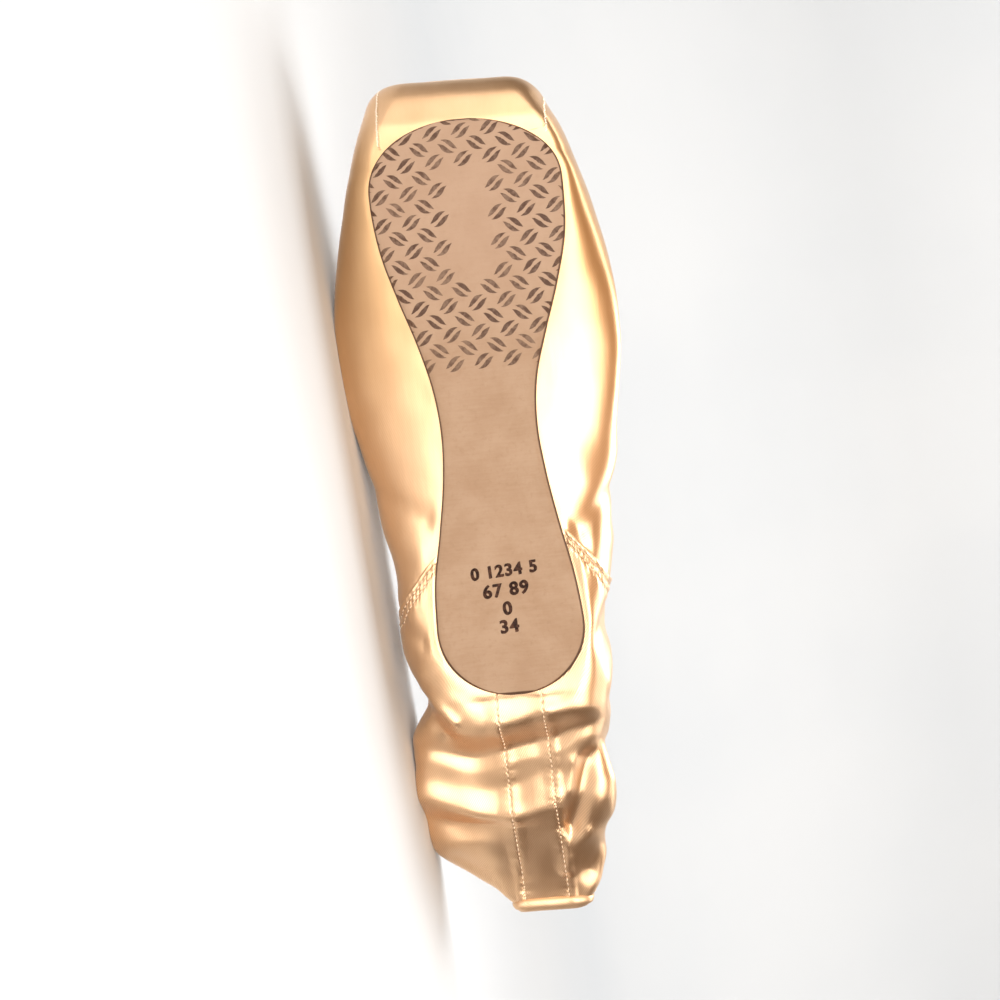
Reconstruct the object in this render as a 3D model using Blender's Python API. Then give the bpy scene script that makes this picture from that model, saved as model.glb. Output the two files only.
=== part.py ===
# Pointe shoe, straight lasted, with a slack satin heel. It lies on its side as on a floor:
# the box and the slack heel touch the floor, and the sole stands nearly upright, facing -Y.
#
# The shapes are worked out in the shoe's own frame and then laid down:
#   along   from the heel end of the sole towards the toe
#   across  negative to the side that lies below, positive to the side that lies above
#   height  from the tread face of the sole into the shoe
from collections import namedtuple
from math import atan2, cos, exp, pi, sin, sqrt

import bmesh
import bpy
import numpy as np
from mathutils import Vector
from mathutils.bvhtree import BVHTree

# Driving dimensions of the last, in metres
SOLE_LENGTH = 0.234
TOE_REACH = 0.0206
HEEL_REACH = 0.0952
BALL_WIDTH = 0.1182
HEEL_WIDTH = 0.0812
TREAD_WIDTH = 0.079
WAIST_WIDTH = 0.0396
SEAT_WIDTH = 0.0594
INSTEP_HEIGHT = 0.0625
PLATFORM_HEIGHT = 0.037
HEEL_HEIGHT = 0.066
BACK_RISE = 0.030
VAMP_LENGTH = 0.1046
THROAT_DEPTH = 0.038

# Walls, edges and clearances
UPPER_WALL = 0.0018
SOLE_THICKNESS = 0.0019
SOLE_SKIVE = 0.0008
SKIVE_WIDTH = 0.0022
INSOLE_THICKNESS = 0.0022
INSOLE_INSET = 0.0012
CLEARANCE = 0.0003
FLANGE = 0.007
SOLE_MARGIN = 0.0012
ARCH_RISE = 0.0042
TOE_SPRING = 0.0024
HEEL_SPRING = 0.0012
TOE_ROUND = 0.010
TOE_SKEW = 0.07
STRIP_WIDTH = 0.0188
BINDING_REACH = 0.0038
BINDING_WALL = 0.0007
BINDING_CLEARANCE = 0.0006
BINDING_STEP = 0.0012
QUARTER_STEP = 0.0005
FLOOR_FLAT = 0.0015

# The quarter seam leaves the sole's edge here and slants back on its way to the collar
QUARTER_SEAM = 0.058
QUARTER_SLANT = 0.014
SEAM_SPREAD = 0.045
SEAM_HALF_GAP = 0.0003

# Fullness of the sections: the handles of their quarter curves, as shares of each rise and run
LOWER_LEVEL = 0.58
LOWER_UPRIGHT = 0.82
CROWN_UPRIGHT = 0.60
CROWN_LEVEL = 0.62
CURVE_SAMPLES = 31

# Rows of the upper's grid on each side, from the underside opening to the collar
BASE_STEPS = 2
LOWER_STEPS = 6
UPPER_STEPS = 8

# Sole outline: half widths to the left and right, as shares of the named width of each row
SoleRow = namedtuple("SoleRow", "along width left right")
SOLE_OUTLINE = (
    SoleRow(0.00, SEAT_WIDTH, 0.505, 0.495),
    SoleRow(0.13, SEAT_WIDTH, 0.505, 0.495),
    SoleRow(0.20, SEAT_WIDTH, 0.490, 0.465),
    SoleRow(0.29, SEAT_WIDTH, 0.424, 0.397),
    SoleRow(0.38, WAIST_WIDTH, 0.555, 0.510),
    SoleRow(0.46, WAIST_WIDTH, 0.528, 0.472),
    SoleRow(0.54, WAIST_WIDTH, 0.568, 0.520),
    SoleRow(0.62, TREAD_WIDTH, 0.340, 0.335),
    SoleRow(0.70, TREAD_WIDTH, 0.413, 0.418),
    SoleRow(0.78, TREAD_WIDTH, 0.476, 0.480),
    SoleRow(0.86, TREAD_WIDTH, 0.505, 0.495),
    SoleRow(0.93, TREAD_WIDTH, 0.505, 0.490),
    SoleRow(1.00, TREAD_WIDTH, 0.500, 0.480),
)
SEAT_END = 0.125
FRONT_END = 0.12
SEAT_FULLNESS = 2.3
FRONT_FULLNESS = 2.2

# Side view of the sole: how far each row lifts off a flat plane, as a share of a named rise
LiftRow = namedtuple("LiftRow", "along rise share")
SOLE_LIFT = (
    LiftRow(0.00, HEEL_SPRING, 1.0),
    LiftRow(0.14, HEEL_SPRING, 0.0),
    LiftRow(0.28, ARCH_RISE, 0.4),
    LiftRow(0.44, ARCH_RISE, 1.0),
    LiftRow(0.60, ARCH_RISE, 0.45),
    LiftRow(0.76, ARCH_RISE, 0.0),
    LiftRow(0.88, TOE_SPRING, 0.2),
    LiftRow(1.00, TOE_SPRING, 1.0),
)

# Sections of the upper over the sole: half widths as shares of the ball width, heights of the
# widest line and of the crown as shares of the instep height, and how far the section stays
# open at the top, as a share of its half width
FootRow = namedtuple("FootRow", "along left right wide crown opening")
FOOT_SECTIONS = (
    FootRow(0.00, 0.345, 0.306, 0.38, 1.02, 0.84),
    FootRow(0.05, 0.376, 0.309, 0.36, 1.02, 0.84),
    FootRow(0.10, 0.398, 0.304, 0.35, 1.01, 0.84),
    FootRow(0.16, 0.412, 0.335, 0.34, 1.00, 0.83),
    FootRow(0.21, 0.402, 0.357, 0.33, 0.99, 0.82),
    FootRow(0.27, 0.418, 0.368, 0.32, 0.98, 0.80),
    FootRow(0.34, 0.443, 0.388, 0.31, 0.98, 0.76),
    FootRow(0.40, 0.465, 0.412, 0.30, 0.98, 0.71),
    FootRow(0.46, 0.486, 0.428, 0.25, 0.99, 0.65),
    FootRow(0.52, 0.510, 0.448, 0.22, 0.99, 0.59),
    FootRow(0.58, 0.524, 0.467, 0.20, 0.98, 0.54),
    FootRow(0.64, 0.528, 0.472, 0.20, 0.965, 0.50),
    FootRow(0.70, 0.521, 0.466, 0.21, 0.935, 0.50),
    FootRow(0.76, 0.507, 0.451, 0.25, 0.895, 0.50),
    FootRow(0.82, 0.485, 0.428, 0.29, 0.845, 0.50),
    FootRow(0.88, 0.457, 0.402, 0.33, 0.785, 0.50),
    FootRow(0.94, 0.424, 0.370, 0.35, 0.715, 0.50),
)

# Sections past the sole's front, by share of the toe reach: widths as shares of the ball width,
# heights as shares of the platform height
ToeRow = namedtuple("ToeRow", "past left right wide crown base")
TOE_SECTIONS = (
    ToeRow(0.0, 0.384, 0.333, 0.60, 1.13, 0.00),
    ToeRow(0.5, 0.350, 0.292, 0.60, 1.05, 0.08),
    ToeRow(1.0, 0.325, 0.268, 0.60, 0.98, 0.20),
)
TOE_FLAT = 0.62
TOE_CROWN_ROUND = 0.45
TOE_BASE_ROUND = 0.55

# Sections of the slack heel, by share of the heel reach behind the sole: half widths as shares
# of the heel width, heights as shares of the heel height, opening as in the foot sections
HeelRow = namedtuple("HeelRow", "behind left right wide crown opening")
HEEL_SECTIONS = (
    HeelRow(0.04, 0.522, 0.444, 0.37, 0.98, 0.84),
    HeelRow(0.11, 0.545, 0.436, 0.37, 0.97, 0.84),
    HeelRow(0.18, 0.580, 0.410, 0.35, 0.95, 0.84),
    HeelRow(0.26, 0.602, 0.382, 0.35, 0.94, 0.84),
    HeelRow(0.36, 0.608, 0.387, 0.37, 0.92, 0.84),
    HeelRow(0.46, 0.609, 0.391, 0.40, 0.90, 0.84),
    HeelRow(0.56, 0.600, 0.380, 0.44, 0.87, 0.84),
    HeelRow(0.65, 0.585, 0.335, 0.50, 0.84, 0.84),
    HeelRow(0.72, 0.560, 0.325, 0.52, 0.81, 0.84),
    HeelRow(0.78, 0.490, 0.325, 0.54, 0.78, 0.84),
    HeelRow(0.84, 0.385, 0.308, 0.55, 0.76, 0.84),
    HeelRow(0.90, 0.290, 0.285, 0.56, 0.74, 0.84),
    HeelRow(0.95, 0.220, 0.248, 0.57, 0.72, 0.84),
    HeelRow(1.00, 0.150, 0.205, 0.57, 0.70, 0.84),
)

# The back wall under the heel rises to the collar: height as a share of the back rise
BackRow = namedtuple("BackRow", "behind share")
BACK_WALL = (
    BackRow(0.00, 0.00),
    BackRow(0.10, 0.12),
    BackRow(0.25, 0.32),
    BackRow(0.45, 0.55),
    BackRow(0.65, 0.75),
    BackRow(0.85, 0.92),
    BackRow(1.00, 1.00),
)

# Main folds of the slack heel, each a ridge (+) or trough (-) from one point to another.
# Places are shares of the heel reach behind the sole and of the heel width across it.
Fold = namedtuple("Fold", "behind_a across_a behind_b across_b half_width rise")
HEEL_FOLDS = (
    Fold(0.10, -0.30, 0.06, 0.34, 0.0070, 0.0016),
    Fold(0.25, -0.45, 0.19, 0.30, 0.0065, -0.0024),
    Fold(0.34, -0.40, 0.27, 0.30, 0.0050, 0.0018),
    Fold(0.47, -0.50, 0.44, 0.24, 0.0065, 0.0020),
    Fold(0.57, -0.45, 0.56, -0.12, 0.0055, -0.0022),
    Fold(0.72, -0.40, 0.66, 0.10, 0.0080, 0.0012),
    Fold(-0.03, -0.52, 0.10, -0.28, 0.0045, -0.0020),
    Fold(0.32, 0.38, 0.74, 0.28, 0.0050, -0.0018),
)
FOLD_FADE = 1.15
FOLD_START = 0.011

# Colours of the finishes: base colour, roughness, metallic
SATIN = ("satin", (0.86, 0.62, 0.42), 0.34, 0.0)
LEATHER = ("sole_leather", (0.74, 0.52, 0.38), 0.72, 0.0)
SOCK = ("sock_cloth", (0.83, 0.70, 0.58), 0.85, 0.0)
TAPE = ("binding_satin", (0.88, 0.66, 0.47), 0.40, 0.0)


def smooth_table(places, values):
    """A smooth curve through the rows of a table, held level past its ends."""
    x = np.asarray(places, float)
    y = np.asarray(values, float)
    slope = np.gradient(y, x)

    def read(at):
        at = min(max(at, x[0]), x[-1])
        i = min(int(np.searchsorted(x, at, side="right")) - 1, len(x) - 2)
        span = x[i + 1] - x[i]
        t = (at - x[i]) / span
        start = y[i] * (1 + 2 * t) + slope[i] * span * t
        end = y[i + 1] * (3 - 2 * t) - slope[i + 1] * span * (1 - t)
        return float(start * (1 - t) ** 2 + end * t * t)

    return read


def ease(t):
    t = min(max(t, 0.0), 1.0)
    return t * t * (3 - 2 * t)


SOLE_HALF = [
    smooth_table([r.along * SOLE_LENGTH for r in SOLE_OUTLINE],
                 [r.width * getattr(r, side) for r in SOLE_OUTLINE])
    for side in ("left", "right")
]
LIFT = smooth_table([r.along * SOLE_LENGTH for r in SOLE_LIFT],
                    [r.rise * r.share for r in SOLE_LIFT])
BACK = smooth_table([r.behind * HEEL_REACH for r in BACK_WALL],
                    [r.share * BACK_RISE for r in BACK_WALL])


def section_curves():
    """One smooth curve along the shoe for each value of the upper's sections."""
    rows = []
    for r in reversed(HEEL_SECTIONS):
        rows.append((-r.behind * HEEL_REACH, r.left * HEEL_WIDTH, r.right * HEEL_WIDTH,
                     r.wide * HEEL_HEIGHT, r.crown * HEEL_HEIGHT, r.opening))
    for r in FOOT_SECTIONS:
        rows.append((r.along * SOLE_LENGTH, r.left * BALL_WIDTH, r.right * BALL_WIDTH,
                     r.wide * INSTEP_HEIGHT, r.crown * INSTEP_HEIGHT, r.opening))
    for r in TOE_SECTIONS:
        rows.append((SOLE_LENGTH + r.past * TOE_REACH, r.left * BALL_WIDTH, r.right * BALL_WIDTH,
                     r.wide * PLATFORM_HEIGHT, r.crown * PLATFORM_HEIGHT, FOOT_SECTIONS[-1].opening))
    places = [row[0] for row in rows]
    names = ("left", "right", "wide", "crown", "opening")
    return {name: smooth_table(places, [row[i + 1] for row in rows]) for i, name in enumerate(names)}


CURVES = section_curves()
TOE_BASE = smooth_table([SOLE_LENGTH + r.past * TOE_REACH for r in TOE_SECTIONS],
                        [r.base * PLATFORM_HEIGHT for r in TOE_SECTIONS])
TOE_TIP = SOLE_LENGTH + TOE_REACH
THROAT = TOE_TIP - VAMP_LENGTH


def end_rounding(past, length, fullness):
    """Share of the full width left at a distance inside a rounded end."""
    t = min(max(past / length, 0.0), 1.0)
    return sqrt(max(0.0, 1 - (1 - t) ** fullness))


def sole_half(along, side, inset=0.0):
    """Half width of the sole's outline on one side, drawn in by an inset all round."""
    length = SOLE_LENGTH - 2 * inset
    place = (along - inset) / length * SOLE_LENGTH
    width = SOLE_HALF[side](place)
    width *= end_rounding(along - inset, SEAT_END * length, SEAT_FULLNESS)
    width *= end_rounding(SOLE_LENGTH - inset - along, FRONT_END * length, FRONT_FULLNESS)
    return max(0.0, width - inset * ease(width / (3 * inset)) if inset else width)


def underside_half(along, side):
    """Half width of the flat underside that the sole covers, carried on to toe and heel."""
    seat = 0.07 * SOLE_LENGTH
    tread = 0.93 * SOLE_LENGTH
    held = min(max(along, seat), tread)
    width = sole_half(held, side) + SOLE_MARGIN
    if along > tread:
        toe = TOE_FLAT * section_width(TOE_TIP, side)
        width += (toe - width) * ease((along - tread) / (TOE_TIP - tread))
    if along < seat:
        width += (STRIP_WIDTH / 2 - width) * ease((seat - along) / (seat + 0.32 * HEEL_REACH))
    return width


def section_width(along, side):
    return CURVES["right" if side else "left"](along)


def toe_inset(along):
    """How far the sections draw in where the toe rounds over into the platform."""
    over = min(max(along - (TOE_TIP - TOE_ROUND), 0.0), TOE_ROUND)
    return TOE_ROUND - sqrt(TOE_ROUND ** 2 - over ** 2)


def base_height(along):
    height = LIFT(along) + SOLE_THICKNESS + CLEARANCE
    if along < 0:
        height += BACK(-along)
    if along > SOLE_LENGTH:
        height += TOE_BASE(along)
    return height + TOE_BASE_ROUND * toe_inset(along)


def throat_share(along):
    """How much of the collar opening is there: none before the throat, all past its curve."""
    inside = min(max((THROAT - along) / THROAT_DEPTH, 0.0), 1.0)
    return sqrt(1 - (1 - inside) ** 2)


def bend(start, leave, arrive, end, t):
    """A point on a cubic curve through start and end, shaped by its two handles."""
    a, b, c, d = (np.array(p) for p in (start, leave, arrive, end))
    return a * (1 - t) ** 3 + b * 3 * t * (1 - t) ** 2 + c * 3 * t * t * (1 - t) + d * t ** 3


def lower_quarter(flat, base, width, wide, t):
    """From the flat underside, level, round to the widest line, upright."""
    leave = (flat + (width - flat) * LOWER_LEVEL, base)
    arrive = (width, wide - (wide - base) * LOWER_UPRIGHT)
    return bend((flat, base), leave, arrive, (width, wide), t)


def crown_quarter(width, wide, crown, t):
    """From the widest line, upright, over to the crown, level."""
    leave = (width, wide + (crown - wide) * CROWN_UPRIGHT)
    arrive = (width * (1 - CROWN_LEVEL), crown)
    return bend((width, wide), leave, arrive, (0.0, crown), t)


def crown_step(along, width, wide, crown, step):
    """One row of the crown: even steps up to the collar, with the last one under its binding."""
    over = np.array([crown_quarter(width, wide, crown, t) for t in np.linspace(0, 1, CURVE_SAMPLES)])
    edge = CURVES["opening"](along) * throat_share(along) * width
    last = float(np.interp(edge, over[::-1, 0], np.linspace(1, 0, CURVE_SAMPLES)))
    steps = np.linspace(0, last, CURVE_SAMPLES)
    curve = np.array([crown_quarter(width, wide, crown, t) for t in steps])
    runs = np.concatenate([[0.0], np.cumsum(np.linalg.norm(np.diff(curve, axis=0), axis=1))])
    band = min(BINDING_REACH, runs[-1] / 3)
    run = runs[-1] if step > UPPER_STEPS else (runs[-1] - band) * step / UPPER_STEPS
    return crown_quarter(width, wide, crown, float(np.interp(run, runs, steps)))


def fold_relief(along, across):
    """Height of the slack heel's folds, ridges positive."""
    relief = 0.0
    point = np.array([-along, across])
    for fold in HEEL_FOLDS:
        a = np.array([fold.behind_a * HEEL_REACH, fold.across_a * HEEL_WIDTH])
        b = np.array([fold.behind_b * HEEL_REACH, fold.across_b * HEEL_WIDTH])
        run = b - a
        t = min(max(float(np.dot(point - a, run) / np.dot(run, run)), 0.0), 1.0)
        away = float(np.linalg.norm(point - a - run * t)) / fold.half_width
        relief += fold.rise * exp(-(away ** 2))
    return relief


SIDE_STEPS = BASE_STEPS + LOWER_STEPS + UPPER_STEPS + 1


def section_point(station, side, row):
    """A point of the upper's outer face: along, across, height."""
    climb = min(max((row - BASE_STEPS) / (SIDE_STEPS - BASE_STEPS), 0.0), 1.0)
    near_seam = exp(-((station - QUARTER_SEAM) / SEAM_SPREAD) ** 2)
    along = station - QUARTER_SLANT * climb * near_seam
    inset = toe_inset(along)
    sign = 1 if side else -1
    width = section_width(along, side) - inset
    wide = CURVES["wide"](along)
    crown = CURVES["crown"](along) - TOE_CROWN_ROUND * inset
    base = base_height(along)
    flat = min(underside_half(along, side) - 0.3 * inset, width - 0.002)
    if row <= BASE_STEPS:
        hole = sole_half(along, side, FLANGE)
        across = hole + (flat - hole) * row / BASE_STEPS
        height = base
    elif row <= BASE_STEPS + LOWER_STEPS:
        t = (row - BASE_STEPS) / LOWER_STEPS
        across, height = lower_quarter(flat, base, width, wide, t)
    else:
        across, height = crown_step(along, width, wide, crown, row - BASE_STEPS - LOWER_STEPS)
    skew = TOE_SKEW * ease((along - 0.8 * SOLE_LENGTH) / (TOE_TIP - 0.8 * SOLE_LENGTH))
    point = np.array([along - skew * sign * across, sign * across, height])
    clear_of_sole = max(-along, across - sole_half(along + FOLD_START, side)) / FOLD_START
    if along < 0.05 * SOLE_LENGTH and clear_of_sole > 0:
        facing = 1 - ease((height - base) / (FOLD_FADE * (wide - base)))
        point[2] -= fold_relief(along, sign * across) * facing * ease(clear_of_sole)
    return point


def stations():
    """Places of the upper's sections, from the platform back to the collar behind the heel."""
    places = [TOE_TIP - TOE_ROUND + TOE_ROUND * sin(a * pi / 180) for a in (90, 78, 63, 48, 33, 17)]
    places += list(np.linspace(TOE_TIP - TOE_ROUND, SOLE_LENGTH - FLANGE, 4))
    places += list(np.linspace(SOLE_LENGTH - 1.6 * FLANGE, THROAT + 0.004, 8))
    places += [THROAT - THROAT_DEPTH * (1 - cos(a * pi / 180)) for a in (0, 14, 28, 42, 56, 72, 90)]
    places += list(np.linspace(THROAT - THROAT_DEPTH, QUARTER_SEAM + SEAM_HALF_GAP, 7))[1:]
    places += list(np.linspace(QUARTER_SEAM - SEAM_HALF_GAP, FLANGE, 6))
    places += list(np.linspace(0, BINDING_REACH - HEEL_REACH, 21))
    places.append(-HEEL_REACH)
    return places


def floor_line():
    """Angle and level, across the shoe, of the floor that touches the box and the slack heel."""
    ball = max(np.linspace(0.4, 0.9, 51) * SOLE_LENGTH, key=lambda s: section_width(s, 0))
    heel = max(np.linspace(0.1, 0.7, 61) * -HEEL_REACH, key=lambda s: section_width(s, 0))
    angle = 0.0
    for _ in range(4):
        angle = atan2(section_width(ball, 0) - section_width(heel, 0), ball - heel)
        reach = lambda s: section_width(s, 0) * cos(angle) - s * sin(angle)
        ball = max(np.linspace(0.4, 0.9, 51) * SOLE_LENGTH, key=reach)
        heel = max(np.linspace(0.1, 0.7, 61) * -HEEL_REACH, key=reach)
    return angle, -reach(ball) + FLOOR_FLAT


FLOOR_ANGLE, FLOOR_LEVEL = floor_line()


def lay_down(point):
    """From the shoe's own frame to the floor's; what would sink in is pressed flat."""
    along, across, height = (float(v) for v in point)
    x = across * sin(FLOOR_ANGLE) - along * cos(FLOOR_ANGLE)
    z = across * cos(FLOOR_ANGLE) + along * sin(FLOOR_ANGLE) - FLOOR_LEVEL
    return Vector((x, height, max(z, 0.0)))


def new_material(finish):
    name, colour, roughness, metallic = finish
    material = bpy.data.materials.new(name)
    material.use_nodes = True
    shader = material.node_tree.nodes["Principled BSDF"]
    shader.inputs["Base Color"].default_value = (*colour, 1)
    shader.inputs["Roughness"].default_value = roughness
    shader.inputs["Metallic"].default_value = metallic
    return material


def new_object(name, bm, finish):
    mesh = bpy.data.meshes.new(name)
    bm.to_mesh(mesh)
    bm.free()
    mesh.materials.append(new_material(finish))
    mesh.shade_smooth()
    mesh.set_sharp_from_angle(angle=0.7)
    piece = bpy.data.objects.new(name, mesh)
    bpy.context.scene.collection.objects.link(piece)
    return piece


def upper_skin():
    """The upper's outer face as one open skin, with the vertices of each station's two sides."""
    bm = bmesh.new()
    grid = []
    raised = False
    for place in stations():
        raised = raised or place < QUARTER_SEAM
        sides = []
        for side in (0, 1):
            row_points = []
            for row in range(SIDE_STEPS + 1):
                point = section_point(place, side, row)
                if raised and row >= BASE_STEPS:
                    point = step_out(point, place, side, row)
                row_points.append(bm.verts.new(lay_down(point)))
            sides.append(row_points)
        grid.append(sides)
    for here, there in zip(grid, grid[1:]):
        for row in range(SIDE_STEPS):
            left = [here[0][row], here[0][row + 1], there[0][row + 1], there[0][row]]
            right = [here[1][row], there[1][row], there[1][row + 1], here[1][row + 1]]
            bm.faces.new(left)
            bm.faces.new(right)
    for row in range(SIDE_STEPS):
        tip = grid[0]
        bm.faces.new([tip[0][row + 1], tip[0][row], tip[1][row], tip[1][row + 1]])
    return bm, grid


def step_out(point, place, side, row):
    """Raise the heel quarter by its own thickness over the vamp panel."""
    ahead = section_point(place, side, min(row + 1, SIDE_STEPS))
    behind = section_point(place, side, max(row - 1, BASE_STEPS))
    run = ahead - behind
    sign = 1 if side else -1
    outward = np.array([0.0, sign * run[2], -sign * run[1]])
    fade = ease((row - BASE_STEPS) / 2) * ease((SIDE_STEPS - row) / 2)
    fade *= ease((place + HEEL_REACH) / (0.3 * HEEL_REACH))
    return point + outward / np.linalg.norm(outward) * QUARTER_STEP * fade


def close_seams(bm):
    bmesh.ops.remove_doubles(bm, verts=bm.verts, dist=0.00001)
    bmesh.ops.dissolve_degenerate(bm, edges=bm.edges, dist=0.000005)
    bmesh.ops.recalc_face_normals(bm, faces=bm.faces)


def upper():
    bm, grid = upper_skin()
    bmesh.ops.remove_doubles(bm, verts=bm.verts, dist=0.00001)
    bm.normal_update()
    bmesh.ops.solidify(bm, geom=bm.faces[:], thickness=UPPER_WALL)
    close_seams(bm)
    return bm


def plate(stations_list, half_of, tread_of, thickness, skive, skive_width):
    """A thin leather plate on the sole's outline, its outer edge skived thinner."""
    bm = bmesh.new()
    rings = []
    for along in stations_list:
        left, right = half_of(along, 0), half_of(along, 1)
        skew = TOE_SKEW * ease((along - 0.8 * SOLE_LENGTH) / (TOE_TIP - 0.8 * SOLE_LENGTH))
        shares = (-1.0, -1.0 + min(0.9, skive_width / max(left, 0.001)), -0.5, 0.0,
                  0.5, 1.0 - min(0.9, skive_width / max(right, 0.001)), 1.0)
        low, high = [], []
        for i, share in enumerate(shares):
            across = share * (right if share > 0 else left)
            place = along - skew * across
            edge = i in (0, len(shares) - 1) or along in (stations_list[0], stations_list[-1])
            tread = tread_of(along)
            low.append(lay_down((place, across, tread + (skive if edge else 0.0))))
            high.append(lay_down((place, across, tread + thickness)))
        rings.append([bm.verts.new(p) for p in low + high[::-1]])
    count = len(rings[0])
    for here, there in zip(rings, rings[1:]):
        for i in range(count):
            j = (i + 1) % count
            bm.faces.new([here[i], here[j], there[j], there[i]])
    bm.faces.new(rings[0][::-1])
    bm.faces.new(rings[-1])
    close_seams(bm)
    return bm


def plate_stations(inset, count=34):
    """Places along the sole, closer together towards its two rounded ends."""
    start = inset + 0.0006
    end = SOLE_LENGTH - inset - 0.0006
    middle, reach = (start + end) / 2, (end - start) / 2
    return [middle - reach * cos(pi * i / count) for i in range(count + 1)]


def outsole():
    return plate(plate_stations(0.0), sole_half, LIFT, SOLE_THICKNESS, SOLE_SKIVE, SKIVE_WIDTH)


def insole():
    floor = SOLE_THICKNESS + UPPER_WALL + 2 * CLEARANCE
    half = lambda along, side: sole_half(along, side, INSOLE_INSET)
    return plate(plate_stations(INSOLE_INSET), half, lambda along: LIFT(along) + floor,
                 INSOLE_THICKNESS, 0.0, SKIVE_WIDTH)


def collar_edge(grid):
    """The upper's vertices round the collar, from the throat by way of the back."""
    first = next(i for i, place in enumerate(stations()) if throat_share(place) > 0)
    down = [grid[i][0][-1] for i in range(first - 1, len(grid))]
    back = [grid[-1][0][row] for row in range(SIDE_STEPS - 1, 0, -1)]
    back += [grid[-1][1][row] for row in range(SIDE_STEPS)]
    up = [grid[i][1][-1] for i in range(len(grid) - 1, first - 1, -1)]
    return down + back + up


def binding():
    """The drawstring casing: a folded tape over the whole collar edge."""
    skin, grid = upper_skin()
    skin.normal_update()
    near_face = BVHTree.FromBMesh(skin)
    path = []
    for vert in collar_edge(grid):
        if not path or (vert.co - path[-1][0]).length > BINDING_STEP:
            path.append((vert.co.copy(), vert.normal.copy()))
    skin.free()
    bm = bmesh.new()
    rings = []
    count = len(path)
    gap, wall = BINDING_CLEARANCE, BINDING_WALL
    inner = UPPER_WALL + gap
    for i, (edge, normal) in enumerate(path):
        run = path[(i + 1) % count][0] - path[i - 1][0]
        out = run.cross(normal).normalized()
        root, lean = near_face.find_nearest(edge - out * BINDING_REACH)[:2]
        ring = (root + lean * gap, root + lean * (gap + wall),
                edge + normal * (gap + wall) + out * gap,
                edge + normal * gap + out * (gap + wall),
                edge - normal * inner + out * (gap + wall),
                edge - normal * (inner + wall) + out * gap,
                root - lean * (inner + wall), root - lean * inner,
                edge - normal * inner + out * gap, edge + normal * gap + out * gap)
        rings.append([bm.verts.new(p) for p in ring])
    for i, here in enumerate(rings):
        there = rings[(i + 1) % count]
        for a in range(len(here)):
            b = (a + 1) % len(here)
            bm.faces.new([here[a], here[b], there[b], there[a]])
    close_seams(bm)
    return bm


PIECES = (
    ("outsole", outsole, LEATHER),
    ("upper", upper, SATIN),
    ("insole", insole, SOCK),
    ("collar_binding", binding, TAPE),
)


def build():
    for old in list(bpy.data.objects):
        bpy.data.objects.remove(old)
    shapes = [(name, make(), finish) for name, make, finish in PIECES]
    corners = [vert.co for _, bm, _ in shapes for vert in bm.verts]
    low = Vector([min(c[i] for c in corners) for i in range(3)])
    high = Vector([max(c[i] for c in corners) for i in range(3)])
    centre = Vector(((low.x + high.x) / 2, (low.y + high.y) / 2, 0.0))
    for name, bm, finish in shapes:
        bmesh.ops.translate(bm, verts=bm.verts, vec=-centre)
        new_object(name, bm, finish)


build()
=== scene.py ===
from collections import namedtuple
from math import atan2, cos, pi, radians, sin

import bmesh
import bpy
import numpy as np
from mathutils import Matrix, Vector
from mathutils.bvhtree import BVHTree


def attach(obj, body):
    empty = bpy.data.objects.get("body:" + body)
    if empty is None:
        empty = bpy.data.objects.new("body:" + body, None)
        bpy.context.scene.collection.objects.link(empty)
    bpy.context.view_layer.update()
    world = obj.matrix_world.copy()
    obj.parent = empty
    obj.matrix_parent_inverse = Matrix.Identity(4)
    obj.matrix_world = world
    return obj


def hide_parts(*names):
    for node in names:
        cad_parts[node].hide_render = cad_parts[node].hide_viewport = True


# A pointe shoe that lies on its side, dressed in satin, leather, cloth and thread.
# The shoe's own frame: along from the heel end of the sole to the toe, across to the side that
# lies above, height from the tread face of the sole inwards.
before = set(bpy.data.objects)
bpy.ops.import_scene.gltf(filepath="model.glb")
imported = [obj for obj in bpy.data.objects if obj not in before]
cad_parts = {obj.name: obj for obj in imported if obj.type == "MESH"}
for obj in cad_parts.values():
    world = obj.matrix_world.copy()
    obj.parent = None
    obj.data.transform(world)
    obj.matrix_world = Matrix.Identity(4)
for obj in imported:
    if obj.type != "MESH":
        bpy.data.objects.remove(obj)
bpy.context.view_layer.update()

# Sizes of the last and the sole, in metres
SOLE_LENGTH = 0.234
TOE_REACH = 0.0206
HEEL_REACH = 0.0952
BALL_WIDTH = 0.1182
HEEL_WIDTH = 0.0812
TREAD_WIDTH = 0.079
WAIST_WIDTH = 0.0396
SEAT_WIDTH = 0.0594
INSTEP_HEIGHT = 0.0625
PLATFORM_HEIGHT = 0.037
HEEL_HEIGHT = 0.066
BACK_RISE = 0.030
VAMP_LENGTH = 0.1046
THROAT_DEPTH = 0.038
UPPER_WALL = 0.0018
SOLE_THICKNESS = 0.0019
SOLE_SKIVE = 0.0008
SKIVE_WIDTH = 0.0022
INSOLE_THICKNESS = 0.0022
INSOLE_INSET = 0.0012
CLEARANCE = 0.0003
FLANGE = 0.007
SOLE_MARGIN = 0.0012
ARCH_RISE = 0.0042
TOE_SPRING = 0.0024
HEEL_SPRING = 0.0012
TOE_ROUND = 0.010
TOE_SKEW = 0.07
STRIP_WIDTH = 0.0188
BINDING_REACH = 0.0038
BINDING_WALL = 0.0007
BINDING_GAP = 0.0002
FLOOR_FLAT = 0.0015
QUARTER_SEAM = 0.058
QUARTER_SLANT = 0.022
QUARTER_RISE = 0.005
QUARTER_SHIFT = 0.0065
SEAM_SPREAD = 0.045
LOWER_LEVEL = 0.44
HEEL_LEVEL = 0.74
LOWER_UPRIGHT = 0.82
CROWN_UPRIGHT = 0.60
CROWN_LEVEL = 0.62
SEAT_END = 0.125
FRONT_END = 0.12
SEAT_FULLNESS = 2.3
FRONT_FULLNESS = 2.2
TOE_FLAT = 0.62
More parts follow.
